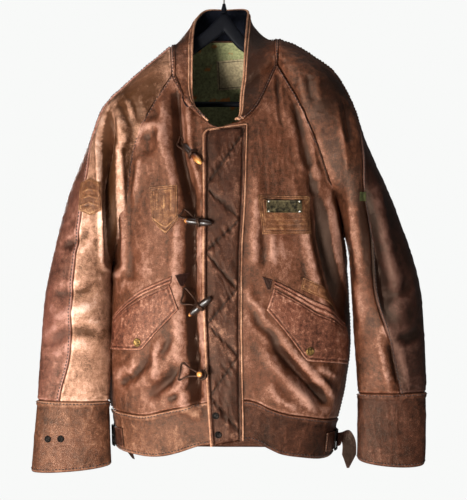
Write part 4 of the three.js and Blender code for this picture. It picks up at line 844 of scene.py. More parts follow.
brown_hide = leather("waxed_brown_cowhide", "#1e0c05", "#583322", "#977060", "#4f2818")
plum_hide = leather("faded_plum_brown_cowhide", "#28120c", "#633d30", "#9a7266", "#5a3127")
tan_hide = leather("sun_bleached_tan_cowhide", "#3d2312", "#98705a", "#d0af9c", "#875c45")
# The left sleeve's back panel, turned away from the light, gets a darker copy of the brown hide: painted
# shade.
shaded_brown_hide = leather("brown_cowhide_darkened_as_painted_shade", "#0e0503", "#2c1711", "#543a31", "#26120c", shine=0.3)
dark_hide = leather("dark_waxed_cowhide", "#120603", "#391e13", "#694535", "#32150c", shine=0.25)
band_hide = leather("rubbed_band_cowhide", "#1b0b05", "#52301f", "#8c6650", "#472316")
# The patches below lighten places where the sheen falls, as painted highlight, and darken the upper chest,
# the upper sleeves and the collar's left side, as painted shade, partly also fading.
sew("front_right", brown_hide, (1,), painted_light_and_fade=[
    (-130, 560, 50, 70, 0.3), (-150, 215, 60, 60, -0.3), (-70, 430, 30, 60, -0.4), (-140, 740, 50, 40, 0.2)])
sew("front_left", brown_hide, (1,), painted_light_and_fade=[
    (100, 530, 50, 50, 0.6), (120, 760, 60, 50, 0.5), (90, 330, 60, 90, -0.2)])
sew("back", brown_hide, (0, 1), painted_light_and_fade=[(0, 260, 110, 60, 0.3), (60, 700, 90, 60, 0.3)])
sew("sleeve_right_back", plum_hide, (0,), across=ALONG_SLEEVE)
sew("sleeve_right_front", tan_hide, across=ALONG_SLEEVE, painted_light_and_fade=[
    (-130, 250, 60, 70, -0.65), (-185, 330, 40, 80, -0.5), (-170, 200, 60, 50, -0.65)])
sew("sleeve_left_back", shaded_brown_hide, (0,), across=ALONG_SLEEVE)
sew("sleeve_left_front", brown_hide, across=ALONG_SLEEVE, painted_light_and_fade=[
    (170, 230, 60, 90, -0.8), (240, 500, 60, 260, -0.5)])
sew("collar", brown_hide, (2,), wrinkle=0.8, painted_light_and_fade=[(42, 170, 24, 90, -2.6), (50, 80, 26, 40, -1.2)])
sew("waistband_front_right", band_hide, (3,), painted_light_and_fade=[(-150, 840, 40, 60, 0.4)])
sew("waistband_front_left", dark_hide, (3,))
sew("waistband_back", dark_hide, (3,))
sew("cuff_right", band_hide, (2,))
sew("cuff_left", dark_hide, (2,))


# Topstitching: rows of waxed brown thread, matt, drawn near black as painted shade for the puckered
# stitch holes. A row is sewn beside every raised seam, and along both edges of the cuffs, the waistband and
# the collar.
STITCHED = {
    "front_right": (1,), "front_left": (1,), "back": (0, 1), "sleeve_right_back": (0,),
    "sleeve_left_back": (0,), "waistband_front_right": (3, 2), "waistband_front_left": (3, 2),
    "waistband_back": (3, 2), "cuff_right": (2, 3), "cuff_left": (2, 3), "collar": (2, 3),
}
THREAD_PITCH, THREAD_LONG, THREAD_RADIUS = 6, 3.8, 1.05
THREAD_REACH, THREAD_LEAN = 1.2, (0.3, 0.2, 0.9)
BEAD_SIDES, BEAD_RINGS = 6, [(-0.5, 0.35), (-0.3, 1), (0.3, 1), (0.5, 0.35)]
# The thread's near-black colour is painted shade for the puckered stitch holes.
thread, _, _ = new_material("near_black_thread_as_painted_shade", Base_Color=linear("#1d0c06"), Roughness=0.7)


def beside_edge(name, side, distance):
    """Points along a piece's edge, at a distance in from it. Sides are first and last column, first and last
    row."""
    rows = fine[name]
    if side > 1:
        rows = rows.transpose(1, 0, 2)
    if side % 2:
        rows = rows[:, ::-1]
    return np.array([point_at(line, far, distance) for far, line in zip(arc(rows, 1), rows)])


def point_at(line, far, distance):
    """The point of a line at a distance along it."""
    return np.array([np.interp(distance, far, values) for values in line.T])


def topstitch(name, lines):
    """Stitches along lines of points, all in one mesh. Each is a short bead, half sunk."""
    turn = np.linspace(0, 2 * math.pi, BEAD_SIDES, endpoint=False)
    bead = np.array([[t, r * math.cos(a), r * math.sin(a)] for t, r in BEAD_RINGS for a in turn])
    numbers = np.arange(len(bead)).reshape(len(BEAD_RINGS), BEAD_SIDES)
    faces = quads_of(np.concatenate([numbers, numbers[:, :1]], 1)).tolist()
    faces += [numbers[0, ::-1].tolist(), numbers[-1].tolist()]
    points, quads = [], []
    for line in lines:
        far = arc(line[None], 1)[0]
        for at in np.arange(THREAD_PITCH / 2, far[-1], THREAD_PITCH):
            a, b = point_at(line, far, at - THREAD_REACH), point_at(line, far, at + THREAD_REACH)
            way = unit(b - a)
            first = unit(np.cross(way, THREAD_LEAN))
            second = np.cross(way, first)
            start = len(points) * len(bead)
            points.append((a + b) / 2 + way * bead[:, :1] * THREAD_LONG
                          + (first * bead[:, 1:2] + second * bead[:, 2:]) * THREAD_RADIUS)
            quads += [[start + i for i in face] for face in faces]
    return put_in(name, np.concatenate(points), quads, thread)


topstitch("topstitching", [
    beside_edge(name, side, TOPSTITCH) for name, sides in STITCHED.items() for side in sides])


# Collar piping: cords covered in hide and sewn into the seams, cracked and rubbed. The collar's free edge
# and front ends have two rows in pale hide, and its foot has two in dark.
pale_hide = leather("rubbed_tan_cowhide", "#5c3524", "#a2775c", "#d8b196", "#8b5a42")


def eased_line(points, times):
    """A line of points with its small turns taken out."""
    points = points.copy()
    for _ in range(times):
        points[1:-1] = (points[:-2] + 2 * points[1:-1] + points[2:]) / 4
    return points


def select_only(made):
    bpy.ops.object.select_all(action="DESELECT")
    made.select_set(True)
    bpy.context.view_layer.objects.active = made


def piping(name, points, radius, material, eased=0):
    """A cord covered in hide, sewn along an edge."""
    points = eased_line(points, eased)
    line = bpy.data.curves.new(name, "CURVE")
    line.dimensions = "3D"
    line.bevel_depth = radius * MM
    line.bevel_resolution = 3
    line.use_fill_caps = True
    spline = line.splines.new("POLY")
    spline.points.add(len(points) - 1)
    spline.points.foreach_set("co", np.concatenate([points * MM, np.ones((len(points), 1))], 1).ravel())
    made = bpy.data.objects.new(name, line)
    bpy.context.collection.objects.link(made)
    select_only(made)
    bpy.ops.object.convert(target="MESH")
    made.data.materials.append(material)
    made.data.shade_smooth()
    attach(made, "root")
    return made


PIPING_RADIUS, INNER_RADIUS, NECK_RADIUS, PIPING_EASED = 1.9, 1.4, 1.5, 40
INNER_ROW, FOOT_ROWS, CORNER_ROWS, CORNER_COLUMNS = 6, 6, 3, 8
collar_rows, collar_out = fine["collar"], folded_normals["collar"]
rim, rim_out = (
    np.concatenate([rows[FOOT_ROWS:, 0], rows[-1][1:-1], rows[:FOOT_ROWS - 1:-1, -1]])
    for rows in (collar_rows, collar_out))
piping("collar_piping", rim + rim_out * 0.2, PIPING_RADIUS, pale_hide, PIPING_EASED)
start_edge, free_edge, stop_edge = (beside_edge("collar", side, INNER_ROW) for side in (0, 3, 1))
inner_rim = np.concatenate([
    start_edge[FOOT_ROWS:-CORNER_ROWS], free_edge[CORNER_COLUMNS:-CORNER_COLUMNS],
    stop_edge[-CORNER_ROWS - 1:FOOT_ROWS - 1:-1]])
piping("collar_piping_inner", inner_rim, INNER_RADIUS, pale_hide, PIPING_EASED)
piping("neck_piping", beside_edge("collar", 2, 1.5), NECK_RADIUS, dark_hide, PIPING_EASED)
upper_row = beside_edge("collar", 2, 11)[CORNER_COLUMNS:-CORNER_COLUMNS]
piping("neck_piping_upper", upper_row, NECK_RADIUS, dark_hide, PIPING_EASED)


# Facing and lining. The collar is faced inside with dark navy twill, and the back has a lining of green
# tweed with flecks of orange, sewn in at the neck and bound in hide.
FACING, LINING, LINING_GAP = 1.5, 1.2, 0.3
LINING_SIDES, LINING_LAST_K = (1 / 14, 13 / 14), 5.33
FACING_INSET = 22
BANDS_A_MM = 310


def woven(name, ground, fleck, strength, thread=0.9, rough=0.93):
    """Cloth woven from spun wool: two sets of threads and odd flecks, matt and a little hairy.
    Its threads are drawn about a millimetre wide, twice their real width, its flecks 20 mm apart."""
    made, tree, shader = new_material(name, Roughness=rough, Specular_IOR_Level=0.15)
    place = add_node(tree, "ShaderNodeTexCoord").outputs["Object"]
    warp, weft = (
        add_node(tree, "ShaderNodeTexWave", {"bands_direction": way}, Vector=place,
                 Scale=BANDS_A_MM / thread, Distortion=2.5).outputs["Fac"] for way in ("X", "Z"))
    crossing = add_node(tree, "ShaderNodeMath", {"operation": "MULTIPLY"}, i0=warp, i1=weft)
    tufts = add_node(tree, "ShaderNodeTexNoise", Vector=place, Scale=240, Detail=3)
    spots = add_node(tree, "ShaderNodeTexNoise", Vector=place, Scale=48, Detail=2)
    share = add_node(tree, "ShaderNodeMapRange", {"clamp": True}, Value=spots.outputs["Fac"],
                     i1=0.64, i2=0.7, i3=0.0, i4=strength).outputs[0]
    shade = add_node(tree, "ShaderNodeMapRange", {"clamp": True}, Value=tufts.outputs["Fac"],
                     i1=0.3, i2=0.7, i3=0.0, i4=1.0).outputs[0]
    base = [v * 0.45 for v in linear(ground)[:3]] + [1]
    for part, colour in ((shade, ground), (share, fleck)):
        base = add_node(tree, "ShaderNodeMix", {"data_type": "RGBA"},
                        i0=part, i6=base, i7=linear(colour)).outputs[2]
    tree.links.new(base, shader.inputs["Base Color"])
    bump = add_node(tree, "ShaderNodeBump", Height=crossing.outputs[0], Strength=0.5, Distance=0.0006)
    tree.links.new(bump.outputs["Normal"], shader.inputs["Normal"])
    return made


navy_twill = woven("navy_wool_twill", "#0b0e19", "#141a2c", 0.4)
olive_braid = woven("olive_braid", "#34361c", "#6a5a2c", 0.3)
green_tweed = woven("green_wool_tweed", "#a6a878", "#c87838", 0.8, 1.2)
cream_satin = woven("cream_woven_label", "#c4b28c", "#b5a27a", 0.1, 0.7, 0.7)


def inside(grid, normals, gap, thick):
    base = grid - normals * gap
    return base, base - normals * thick


faced = (slice(None), slice(FACING_INSET, -FACING_INSET))
facing_outer, facing_inner = inside(collar_rows[faced], collar_out[faced], LEATHER + LINING_GAP, FACING)
collar_facing = make_wall(
    "collar_facing", facing_outer, facing_inner, False, OUTWARD["collar"] < 0, navy_twill)
hung(collar_rows[faced])
stands_for(collar_facing, "collar_facing")

rows_from = len(fine["back"]) - int(np.searchsorted(RAGLAN_K, LINING_LAST_K))
first_column, last_column = (int(np.searchsorted(BACK_COLUMNS, share)) for share in LINING_SIDES)
lined = (slice(rows_from, None), slice(first_column, last_column + 1))
lining_out = folded_normals["back"][lined]
lining_outer, lining_inner = inside(fine["back"][lined], lining_out, LEATHER + LINING_GAP, LINING)
lining_sag = 0.8 * swell(lining_inner, (30, 30, 60), 5.5) - 0.8
lining_inner -= lining_out * np.maximum(-lining_sag, 0)[..., None]
lining = make_wall("lining_back", lining_outer, lining_inner, False, OUTWARD["back"] < 0, green_tweed)
hung(lining_outer)
stands_for(lining, "lining_back")
piping("lining_binding", lining_inner[-1], 1.6, dark_hide)


# Label: cream satin, woven and left bare. Its edge is turned in and it is stitched all round to the
# lining, so it follows the lining's sag, as every piece laid on another does below.
CAST_FROM = 60


def tree_of(*grids):
    """What a ray needs to find its place on grids of points."""
    points, quads = [], []
    for grid in grids:
        numbers = np.arange(grid.shape[0] * grid.shape[1]).reshape(grid.shape[:2]) + len(points)
        quads += quads_of(numbers).tolist()
        points += grid.reshape(-1, 3).tolist()
    return BVHTree.FromPolygons(points, quads)


def landed(tree, near, out):
    """How far out of each near point the surface lies, along its outward direction."""
    far = np.zeros(near.shape[:-1])
    for place in np.ndindex(far.shape):
        start, way = Vector(near[place] + out[place] * CAST_FROM), Vector(-out[place])
        distance = tree.ray_cast(start, way)[3]
        far[place] = CAST_FROM - distance if distance is not None else 0
    return far


def ahead_of(y, centre=None):
    """A place to lay pieces from in front, or from round a centre, as a point and an outward direction."""
    def near(x, drop):
        return np.stack([x, np.full(x.shape, float(y)), -drop], -1)

    def out(x, drop):
        level = np.zeros(x.shape)
        if centre is None:
            return np.stack([level, level - 1, level], -1)
        return unit(np.stack([x - centre, level + y, level], -1))

    return near, out


def edge_line(points, rounding):
    """A line through given points by share of the way, with its corners rounded off."""
    points = np.array(points, float)
    at = np.linspace(0, 1, 81)
    stops = np.linspace(0, 1, len(points))
    line = eased_line(np.stack([np.interp(at, stops, values) for values in points.T], -1), rounding)
    return lambda t: np.stack([np.interp(t, at, values) for values in line.T], -1)


def lay(tree, top, foot, space, size, lift=0.3, rounding=4, step=2.4):
    """A grid on the cloth under a piece laid on it, between an upper and a lower line, with the directions
    out of it. The grid bridges the cloth's small hollows."""
    near_to, out_of = space
    u, v = (graded(max(int(length / step), 4), length) for length in size)
    upper, lower = edge_line(top, rounding)(u), edge_line(foot, rounding)(u)
    place = mix(upper[None], lower[None], v[:, None, None])
    near, out = near_to(place[..., 0], place[..., 1]), out_of(place[..., 0], place[..., 1])
    far = landed(tree, near, out)
    bridged = np.maximum(loosened(far, 5), far)
    bridged = np.maximum(loosened(bridged, 3), far)
    return near + out * (bridged + lift)[..., None], out, place


def rounded_edge(distance, radius):
    return np.sqrt(np.clip(1 - (1 - np.clip(distance / radius, 0, 1)) ** 2, 0, 1))


def from_edges(grid):
    """Distance from the nearest edge of a grid, along the cloth."""
    return np.minimum.reduce(seam_distances(grid))


def hemmed(to_edge, thick, radius, stitch_at, sunk):
    """Height of a piece with a rounded edge, sunk along a row of stitches beside it."""
    return thick * rounded_edge(to_edge, radius) - sunk * bump_at(to_edge, stitch_at, 0.8)


def lay_piece(name, grid, out, height, material, wear=None, under=None):
    """A laid piece of the given height over its grid."""
    outer = grid + out * height[..., None]
    flip = (cross_normals(outer, False) * out).sum() < 0
    fine[name] = outer
    # By default its hollows are painted darker and its backs lighter: painted shade and highlight, with some
    # rubbing.
    relief_wear_and_shade = (height - loosened(height, 8)) / 0.8 if wear is None else wear
    made = make_wall(name, outer, grid, False, flip, material, wear=np.clip(relief_wear_and_shade, -2, 1.2))
    if under:
        hung(grid, False)
    return made


LABEL_SIZE, LABEL_THICK = (74, 54), 0.55
label_grid, label_out, _ = lay(
    tree_of(lining_inner), [(-15, 166), (60, 160)], [(-12, 220), (62, 214)], ahead_of(60), LABEL_SIZE, 0.2)
to_edge = from_edges(label_grid)
label = lay_piece("label", label_grid, label_out, hemmed(to_edge, LABEL_THICK, 0.6, 3.2, 0.25), cream_satin,
                  under="lining_back")
stands_for(label, "label")
left, foot, right, top = (beside_edge("label", side, 4) for side in (0, 3, 1, 2))
border = np.concatenate([left[3:-3], foot[3:-3], right[-4:2:-1], top[-4:2:-1]])
piping("label_border", border, 0.5, thread)


# Storm flap: a narrow padded panel over the zip, quilted in a zigzag, with a rolled edge that is piped on
# three sides. It is sewn on beside the left front's edge and closes on the right.
FLAP_RIGHT = curve([[300, -36], [429, -35], [600, -35], [771, -27], [852, -22]])
FLAP_LEFT = curve([[290, 41], [429, 37], [515, 32], [651, 31], [771, 33], [842, 34]])
ZIGZAG = [
    (40, 304), (-31, 407), (28, 462), (-31, 518), (23, 581), (-28, 641), (25, 695), (-23, 764), (30, 828)]
QUILT_STITCH, QUILT_PILLOW, FLAP_THICK = 7, 3.0, 2.8
FLAP_TOP, FLAP_FOOT, FLAP_CORNER = (307, 298), (851, 841), 13
FLAP_LIFT, FRONT_EDGE = 0.4, 3

front_tree = tree_of(fine["front_right"], fine["front_left"],
                     fine["waistband_front_right"], fine["waistband_front_left"])
u, v = graded(36, 72), graded(200, 550)
flap_top = mix(*FLAP_TOP, u)[None]
flap_drop = mix(flap_top, mix(*FLAP_FOOT, u)[None], v[:, None])
flap_left, flap_right = FLAP_LEFT(flap_drop), FLAP_RIGHT(flap_drop)
above_corner = np.clip(FLAP_CORNER - (flap_drop - flap_top), 0, FLAP_CORNER)
corner = FLAP_CORNER - np.sqrt(FLAP_CORNER ** 2 - above_corner ** 2)
flap_x = mix(flap_right + corner, flap_left, mix(0.02, 0.985, u)[None])
on_front = np.where(np.abs(flap_x) < FRONT_EDGE, np.where(flap_x < 0, -FRONT_EDGE, FRONT_EDGE), flap_x)
near = body(body_angle(on_front, flap_drop), flap_drop)
straight = np.broadcast_to(np.array([0.0, -1.0, 0.0]), near.shape)
flap_far = landed(front_tree, near, straight)
flap_far = np.maximum(loosened(flap_far, 10), loosened(np.maximum(loosened(flap_far, 3), flap_far), 1))
flap_grid = near + straight * (flap_far + FLAP_LIFT)[..., None]
flap_grid[..., 0] = flap_x

legs = [np.linspace(a, b, 12, endpoint=False) for a, b in zip(ZIGZAG[:-1], ZIGZAG[1:])]
zigzag_line = np.concatenate(legs + [np.array(ZIGZAG[-1:], float)])
from_stitch = np.abs(to_line(zigzag_line, flap_x.ravel(), flap_drop.ravel())[0]).reshape(flap_x.shape)
from_left, from_right, from_top, from_foot = seam_distances(flap_grid)
from_edge = np.minimum.reduce([from_left, from_right, from_top, from_foot + 4])
inner_edge = np.minimum(from_stitch, np.maximum(from_edge - 6, 0) + 1.5)
pillow = QUILT_PILLOW * (1 - np.exp(-(inner_edge / QUILT_STITCH) ** 1.3))
tucks = ridges(flap_grid + flap_grid[..., 2:] * np.array([0.5, 0, 0]), (7, 7, 26), 2.2)
tucks *= bump_at(from_stitch, 0, 13) * smooth(from_edge, 5, 10)
rolled = 1.6 * bump_at(from_edge, 2.6, 1.9) - 1.3 * bump_at(from_edge, 6, 0.9)
cut_in = -1.1 * bump_at(from_stitch, 0, 1.1) * smooth(from_edge, 5, 7)
puckered = 0.5 * swell(flap_grid, (5, 5, 4), 8.8) * bump_at(from_edge, 6.5, 3)
flap_height = FLAP_THICK * rounded_edge(from_edge, 2.2) + pillow * smooth(from_edge, 5, 8) + rolled + cut_in
flap_height += puckered + 2.2 * tucks + 0.5 * swell(flap_grid, (12, 12, 30), 4.4)
# The flap's hollows and the line of its zigzag stitches are painted darker, as painted shade, and its backs
# lighter, as painted highlight.
flap_wear = np.clip((flap_height - loosened(flap_height, 12)) / 2.2, -0.9, 0.6)
flap_wear -= 0.9 * bump_at(from_stitch, 0, 1.4)
quilt_hide = leather("quilted_dark_cowhide", "#120603", "#361c12", "#7f5a47", "#2e150c", shine=0.28)
storm_flap = lay_piece(
    "storm_flap", flap_grid, straight, np.maximum(flap_height, 0.5), quilt_hide, flap_wear)
stands_for(storm_flap, "storm_flap")

# Its piping runs up the right edge, over the top and down the left edge, sunk in beside the panel.
PIPING_SUNK = np.array([0, -1.3, 0])
flap_edge = np.concatenate([flap_grid[::-1, 0], flap_grid[0, 1:]])
piping("storm_flap_piping", flap_edge + PIPING_SUNK, 2.1, pale_hide)
piping("storm_flap_piping_left", flap_grid[2:, -1] + PIPING_SUNK, 1.9, pale_hide)


# Toggles: four pieces of polished horn, dark with an amber end, that hang a little crooked. Each is held
# by a loop of dark leather cord, wound twice round its waist and sewn to the right front at its two ends.
TOGGLE_RADIUS = 6.5
TOGGLE_PROFILE = [
    (0, 0.05), (0.03, 0.5), (0.12, 0.84), (0.3, 1), (0.5, 0.9), (0.7, 0.98), (0.86, 0.76), (0.97, 0.4),
    (1, 0.05)]
CORD_RADIUS, COIL_PITCH = 1.6, 1.15
# Each has its two ends as x, drop and height off the front, the end that is amber and from what share of
# the way, and the two places where its cord is sewn down, as x and drop.
TOGGLES = [
    ((-70, 332, 15), (-38, 368, 15), 1, 0.3, (-74, 318), (-80, 334)),
    ((-67, 465, 15), (-19, 470, 15), -1, 0.8, (-66, 446), (-76, 458)),
    ((-21, 595, 15), (-59, 627, 15), 1, 0.82, (-66, 580), (-72, 606)),
    ((-41, 723, 54), (-29, 728, 11), -1, 0.8, (-70, 708), (-76, 736)),
]


def front_point(x, drop, stand_off):
    near = body(body_angle(x, drop), drop)
    distance = front_tree.ray_cast(Vector((x, near[1] - CAST_FROM, -drop)), Vector((0, 1, 0)))[3]
    return np.array([x, near[1] - CAST_FROM + distance - stand_off, -drop])


def frame_along(axis):
    """Two directions square to an axis, the first as far to the front as it can be."""
    axis = unit(axis)
    first = np.array([0, -1.0, 0]) + axis * axis[1]
    if np.linalg.norm(first) < 0.4:
        first = np.array([-1.0, 0, 0]) + axis * axis[0]
    first = unit(first)
    return axis, first, np.cross(first, axis)


# Horn is grown in layers: dark, with amber streaks 2 mm wide towards one end, and polished by handling.
horn, horn_tree, horn_shader = new_material(
    "polished_ox_horn", Roughness=0.34, Specular_IOR_Level=0.45, Coat_Weight=0.1)
grown = add_node(horn_tree, "ShaderNodeAttribute", {"attribute_name": "amber"}).outputs["Fac"]
horn_place = add_node(horn_tree, "ShaderNodeTexCoord").outputs["Object"]
streak_scale = add_node(horn_tree, "ShaderNodeMapping", Vector=horn_place, Scale=(1, 0.4, 0.5))
streaks = add_node(horn_tree, "ShaderNodeTexNoise", Vector=streak_scale.outputs[0], Scale=420, Detail=3)
amber_share = add_node(horn_tree, "ShaderNodeMath", {"operation": "MULTIPLY_ADD"},
                       i0=streaks.outputs["Fac"], i1=0.3, i2=grown)
horn_ramp = add_node(horn_tree, "ShaderNodeValToRGB", Fac=amber_share.outputs[0])
horn_colours = horn_ramp.color_ramp.elements
horn_colours[0].position, horn_colours[0].color = 0.35, linear("#1c0f08")
horn_colours[1].position, horn_colours[1].color = 1.0, linear("#c98a45")
horn_colours.new(0.62).color = linear("#5a2b12")
horn_tree.links.new(horn_ramp.outputs["Color"], horn_shader.inputs["Base Color"])
cord_hide = leather("dark_cord_hide", "#110805", "#2e1a12", "#5a3c2c", "#2a130c", crackle=0.2)

for number, (start, stop, amber_side, amber_from, knot_one, knot_two) in enumerate(TOGGLES, 1):
    a, b = front_point(*start), front_point(*stop)
    axis, toward, beside = frame_along(b - a)
    length, middle = np.linalg.norm(b - a), (a + b) / 2
    bpy.ops.object.select_all(action="DESELECT")
    bpy.ops.mesh.primitive_uv_sphere_add(segments=32, ring_count=28, radius=1)
    toggle = bpy.context.object
    toggle.name = f"toggle_{number}_horn"
    ball = np.array([vertex.co[:] for vertex in toggle.data.vertices])
    t = (ball[:, 2] + 1) / 2
    swing = ball[:, :2] / np.maximum(np.linalg.norm(ball[:, :2], axis=1, keepdims=True), 1e-6)
    girth = curve(TOGGLE_PROFILE)(t) * TOGGLE_RADIUS * np.where((t < 1e-4) | (t > 1 - 1e-4), 0, 1)
    girth *= 1 + 0.05 * np.sin(5 * t + 2 * number)
    bend = 1.6 * np.sin(math.pi * t)
    shape = a + axis * (t * length)[:, None] - toward * bend[:, None]
    shape += toward * (swing[:, :1] * girth[:, None]) + beside * (swing[:, 1:] * girth[:, None] * 0.94)
    toggle.data.vertices.foreach_set("co", (shape * MM).ravel())
    amber = smooth(t if amber_side > 0 else 1 - t, amber_from, 1) * 0.8
    amber_data = toggle.data.attributes.new("amber", "FLOAT", "POINT").data
    amber_data.foreach_set("value", amber.astype(np.float32))
    toggle.data.materials.append(horn)
    toggle.data.update()
    toggle.data.shade_smooth()
    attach(toggle, "root")
    stands_for(toggle, f"toggle_{number}")

    turn = np.linspace(0, 4 * math.pi, 60)
    reach = TOGGLE_RADIUS * 0.93 + CORD_RADIUS
    coil = middle - toward * 1.4 + axis * ((turn / math.pi - 2) * COIL_PITCH)[:, None]
    coil = coil + toward * (np.cos(turn) * reach)[:, None] + beside * (np.sin(turn) * reach)[:, None]
    knots = [front_point(*knot, CORD_RADIUS + 0.4) for knot in (knot_one, knot_two)]
    rear = middle - toward * (reach + 2)
    stretch = smooth_line([coil[0] - toward * 0.5, mix(rear, knots[0], 0.45) - (0, 2, 0), knots[0],
                           knots[0] * 0.5 + knots[1] * 0.5 + (-1, -1.2, 0), knots[1],
                           mix(rear, knots[1], 0.45) - (0, 2, 0), coil[-1] - toward * 0.5], 60)
    thong = piping(f"toggle_{number}_cord", np.concatenate([coil, stretch[::-1]]), CORD_RADIUS, cord_hide)
    stands_for(thong, f"toggle_thong_{number}")


# Pockets: each has a slanted welt with two rolled lips, a flap of thick, coarse-grained, redder hide
# topstitched round its edge, and a small dark triangle sewn over the welt's inner end.
COARSE_THICK, WELT_THICK, TACK_THICK = 2.4, 2.6, 1.6


def beside_body(angle, drop):
    """The direction out of the body's section."""
    along = body(angle + 0.02, drop) - body(angle - 0.02, drop)
    return unit(np.stack([along[..., 1], -along[..., 0], np.zeros(along.shape[:-1])], -1))


ON_BODY = (body, beside_body)


def on_body(points):
    return [(float(body_angle(x, drop)), drop) for x, drop in points]


red_hide = leather("coarse_red_brown_cowhide", "#2b120c", "#643b2b", "#b18570", "#582a1d",
                   grain=3.0, crackle=0.15)
tack_hide = leather("tack_dark_cowhide", "#0d0503", "#241310", "#4a3029", "#20100b", shine=0.2)


def flap_height_of(grid, thick):
    """Height of a flap: a rolled edge, a stitched groove with puckers, and a soft belly."""
    distances = seam_distances(grid)
    to_edge = np.minimum.reduce([distances[0], distances[1], distances[3], distances[2] + 3])
    height = thick * rounded_edge(to_edge, 1.8) - 0.8 * bump_at(to_edge, 5.5, 1.0)
    height += 0.9 * smooth(to_edge, 6, 22)
    height += 0.45 * swell(grid, (4.5, 4.5, 4.5), 6.1) * bump_at(to_edge, 5.5, 3)
    coarse = 0.4 * ridges(grid, (10, 10, 10), 4.2) + 0.4 * ridges(grid, (5, 5, 9), 2.9)
    return height + coarse * smooth(to_edge, 4, 9)


def welt_height_of(grid, thick):
    """Height of a welt: two rolled lips with the pocket's mouth between them."""
    _, _, top, foot = seam_distances(grid)
    across = top / np.maximum(top + foot, 1e-6)
    lips = np.abs(np.sin(math.pi * np.clip(across, 0.001, 0.999) * 2)) ** 0.6
    return thick * (0.25 + 0.75 * lips)


# Each piece has the points (x, drop) of its upper and lower edge, and its width and height.
POCKETS = {
    "pocket_welt_right": (
        [(-190, 628), (-142, 583), (-87, 559)], [(-192, 638), (-138, 593), (-90, 572)], (125, 12)),
    "pocket_flap_right": (
        [(-193, 641), (-137, 596), (-91, 575)], [(-197, 690), (-141, 688), (-75, 617)], (125, 70)),
    "pocket_tack_right": ([(-82, 558), (-59, 553)], [(-73, 577), (-69, 577)], (22, 22)),
    "pocket_welt_left": (
        [(87, 567), (148, 599), (216, 642)], [(87, 578), (158, 621), (216, 655)], (150, 13)),
    "pocket_flap_left": (
        [(85, 581), (158, 624), (216, 658)], [(73, 617), (141, 706), (217, 717)], (150, 72)),
    "pocket_tack_left": ([(66, 560), (84, 566)], [(75, 583), (79, 583)], (20, 22)),
}
for piece, (top, foot, size) in POCKETS.items():
    front = "front_right" if piece.endswith("right") else "front_left"
    grid, out, _ = lay(
        tree_of(fine[front]), on_body(top), on_body(foot), ON_BODY, size, 0.4, 1 if "tack" in piece else 5)
    if "flap" in piece:
        height, hide, slot = flap_height_of(grid, COARSE_THICK), red_hide, "red_leather"
    elif "welt" in piece:
        height, hide, slot = welt_height_of(grid, WELT_THICK), red_hide, "red_leather"
    else:
        to_edge = from_edges(grid)
        height, hide, slot = hemmed(to_edge, TACK_THICK, 1.2, 3, 0.5), tack_hide, "dark_leather"
    stands_for(lay_piece(piece, grid, out, height, hide, under=front), piece)


# Patches: badges of thick hide sewn to the chest, over the left pocket and to the right sleeve, tooled with
# plain lines, bars and chevrons. A small tab of olive braid is sewn to the left sleeve.
PATCH_THICK, TOOLED_DEPTH, TOOLED_BANK = 1.5, 0.55, 0.3
tooled_hide = leather("tooled_brown_cowhide", "#1d0c05", "#5c3925", "#ab835a", "#683d23")


def tooled(grid, lines, edge_radius=0.9):
    """Height of a patch: an edge, and lines pressed into it at some distances from the edge."""
    to_edge = from_edges(grid)
    height = PATCH_THICK * rounded_edge(to_edge, edge_radius)
    for line in lines:
        height -= TOOLED_DEPTH * bump_at(to_edge, line, 0.8)
        height += TOOLED_BANK * bump_at(to_edge, line + 1.7, 0.8)
    return height + 0.3 * swell(grid, (9, 9, 9), 3.3) * smooth(to_edge, 2, 6)


def on_patch(at, points, depth, wide):
    """Lines pressed in or raised along given points (x, drop)."""
    distance, _ = to_line(np.array(points, float), at[..., 0].ravel(), at[..., 1].ravel())
    return depth * bump_at(distance, 0, wide).reshape(at.shape[:2])


# Each patch has its upper and lower edge, its width and height, what it is sewn to, and the distances of
# its tooled lines from the edge. Chevrons and bars are points (x, drop), their height and half width.
PATCHES = {
    "patch_shield": (
        [(-128, 406), (-79, 403)], [(-122, 464), (-99, 488), (-77, 464)], (50, 75), "front_right",
        (2.6, 6.5)),
    "patch_rectangle": (
        [(58, 421), (149, 422)], [(66, 488), (150, 488)], (88, 67), "front_left", (2.6, 6.5)),
    "strip_patch_left": (
        [(136, 562), (207, 605)], [(131, 582), (203, 622)], (82, 19), "front_left", (2.4,)),
}
CHEVRON = [(-124, 458), (-112, 468), (-99, 476), (-88, 467), (-78, 458)]
RAISED = {
    "patch_shield": [([(x, drop + fall) for x, drop in CHEVRON], 0.8, 1.1) for fall in (0, 8)]
    + [([(x, top - 8), (x, top + 20)], 0.7, 1.2) for x, top in ((-114, 425), (-102, 430), (-90, 425))],
    "patch_rectangle": [([(78, drop), (138, drop)], 0.4, 1.3) for drop in (462, 470, 478)],
    "strip_patch_left": [],
}
for piece, (top, foot, size, under, lines) in PATCHES.items():
    grid, out, _ = lay(tree_of(fine[under]), on_body(top), on_body(foot), ON_BODY, size, 0.5, 1, 1.2)
    at = np.stack([grid[..., 0], -grid[..., 2]], -1)
    height = tooled(grid, lines)
    for points, depth, wide in RAISED[piece]:
        height += on_patch(at, points, depth, wide)
    stands_for(lay_piece(piece, grid, out, height, tooled_hide, under=under), piece)

BADGE_TOP, BADGE_FOOT = [(-248, 398), (-230, 390), (-212, 398)], [(-244, 446), (-226, 456), (-210, 446)]
BADGE_SIZE, BADGE_CENTRE = (40, 58), -212
sleeve_tree = tree_of(fine["sleeve_right_front"], fine["sleeve_right_back"])
grid, out, at = lay(sleeve_tree, BADGE_TOP, BADGE_FOOT, ahead_of(-70, BADGE_CENTRE), BADGE_SIZE, 0.6, 1, 1.2)
height = tooled(grid, (2.4,))
for drop in (412, 424, 436):
    height += on_patch(at, [(-240, drop + 2), (-228, drop - 3), (-216, drop + 2)], 0.7, 1.3)
badge = lay_piece("badge_sleeve_right", grid, out, height, tooled_hide, under="sleeve_right_front")
stands_for(badge, "badge_sleeve_right")

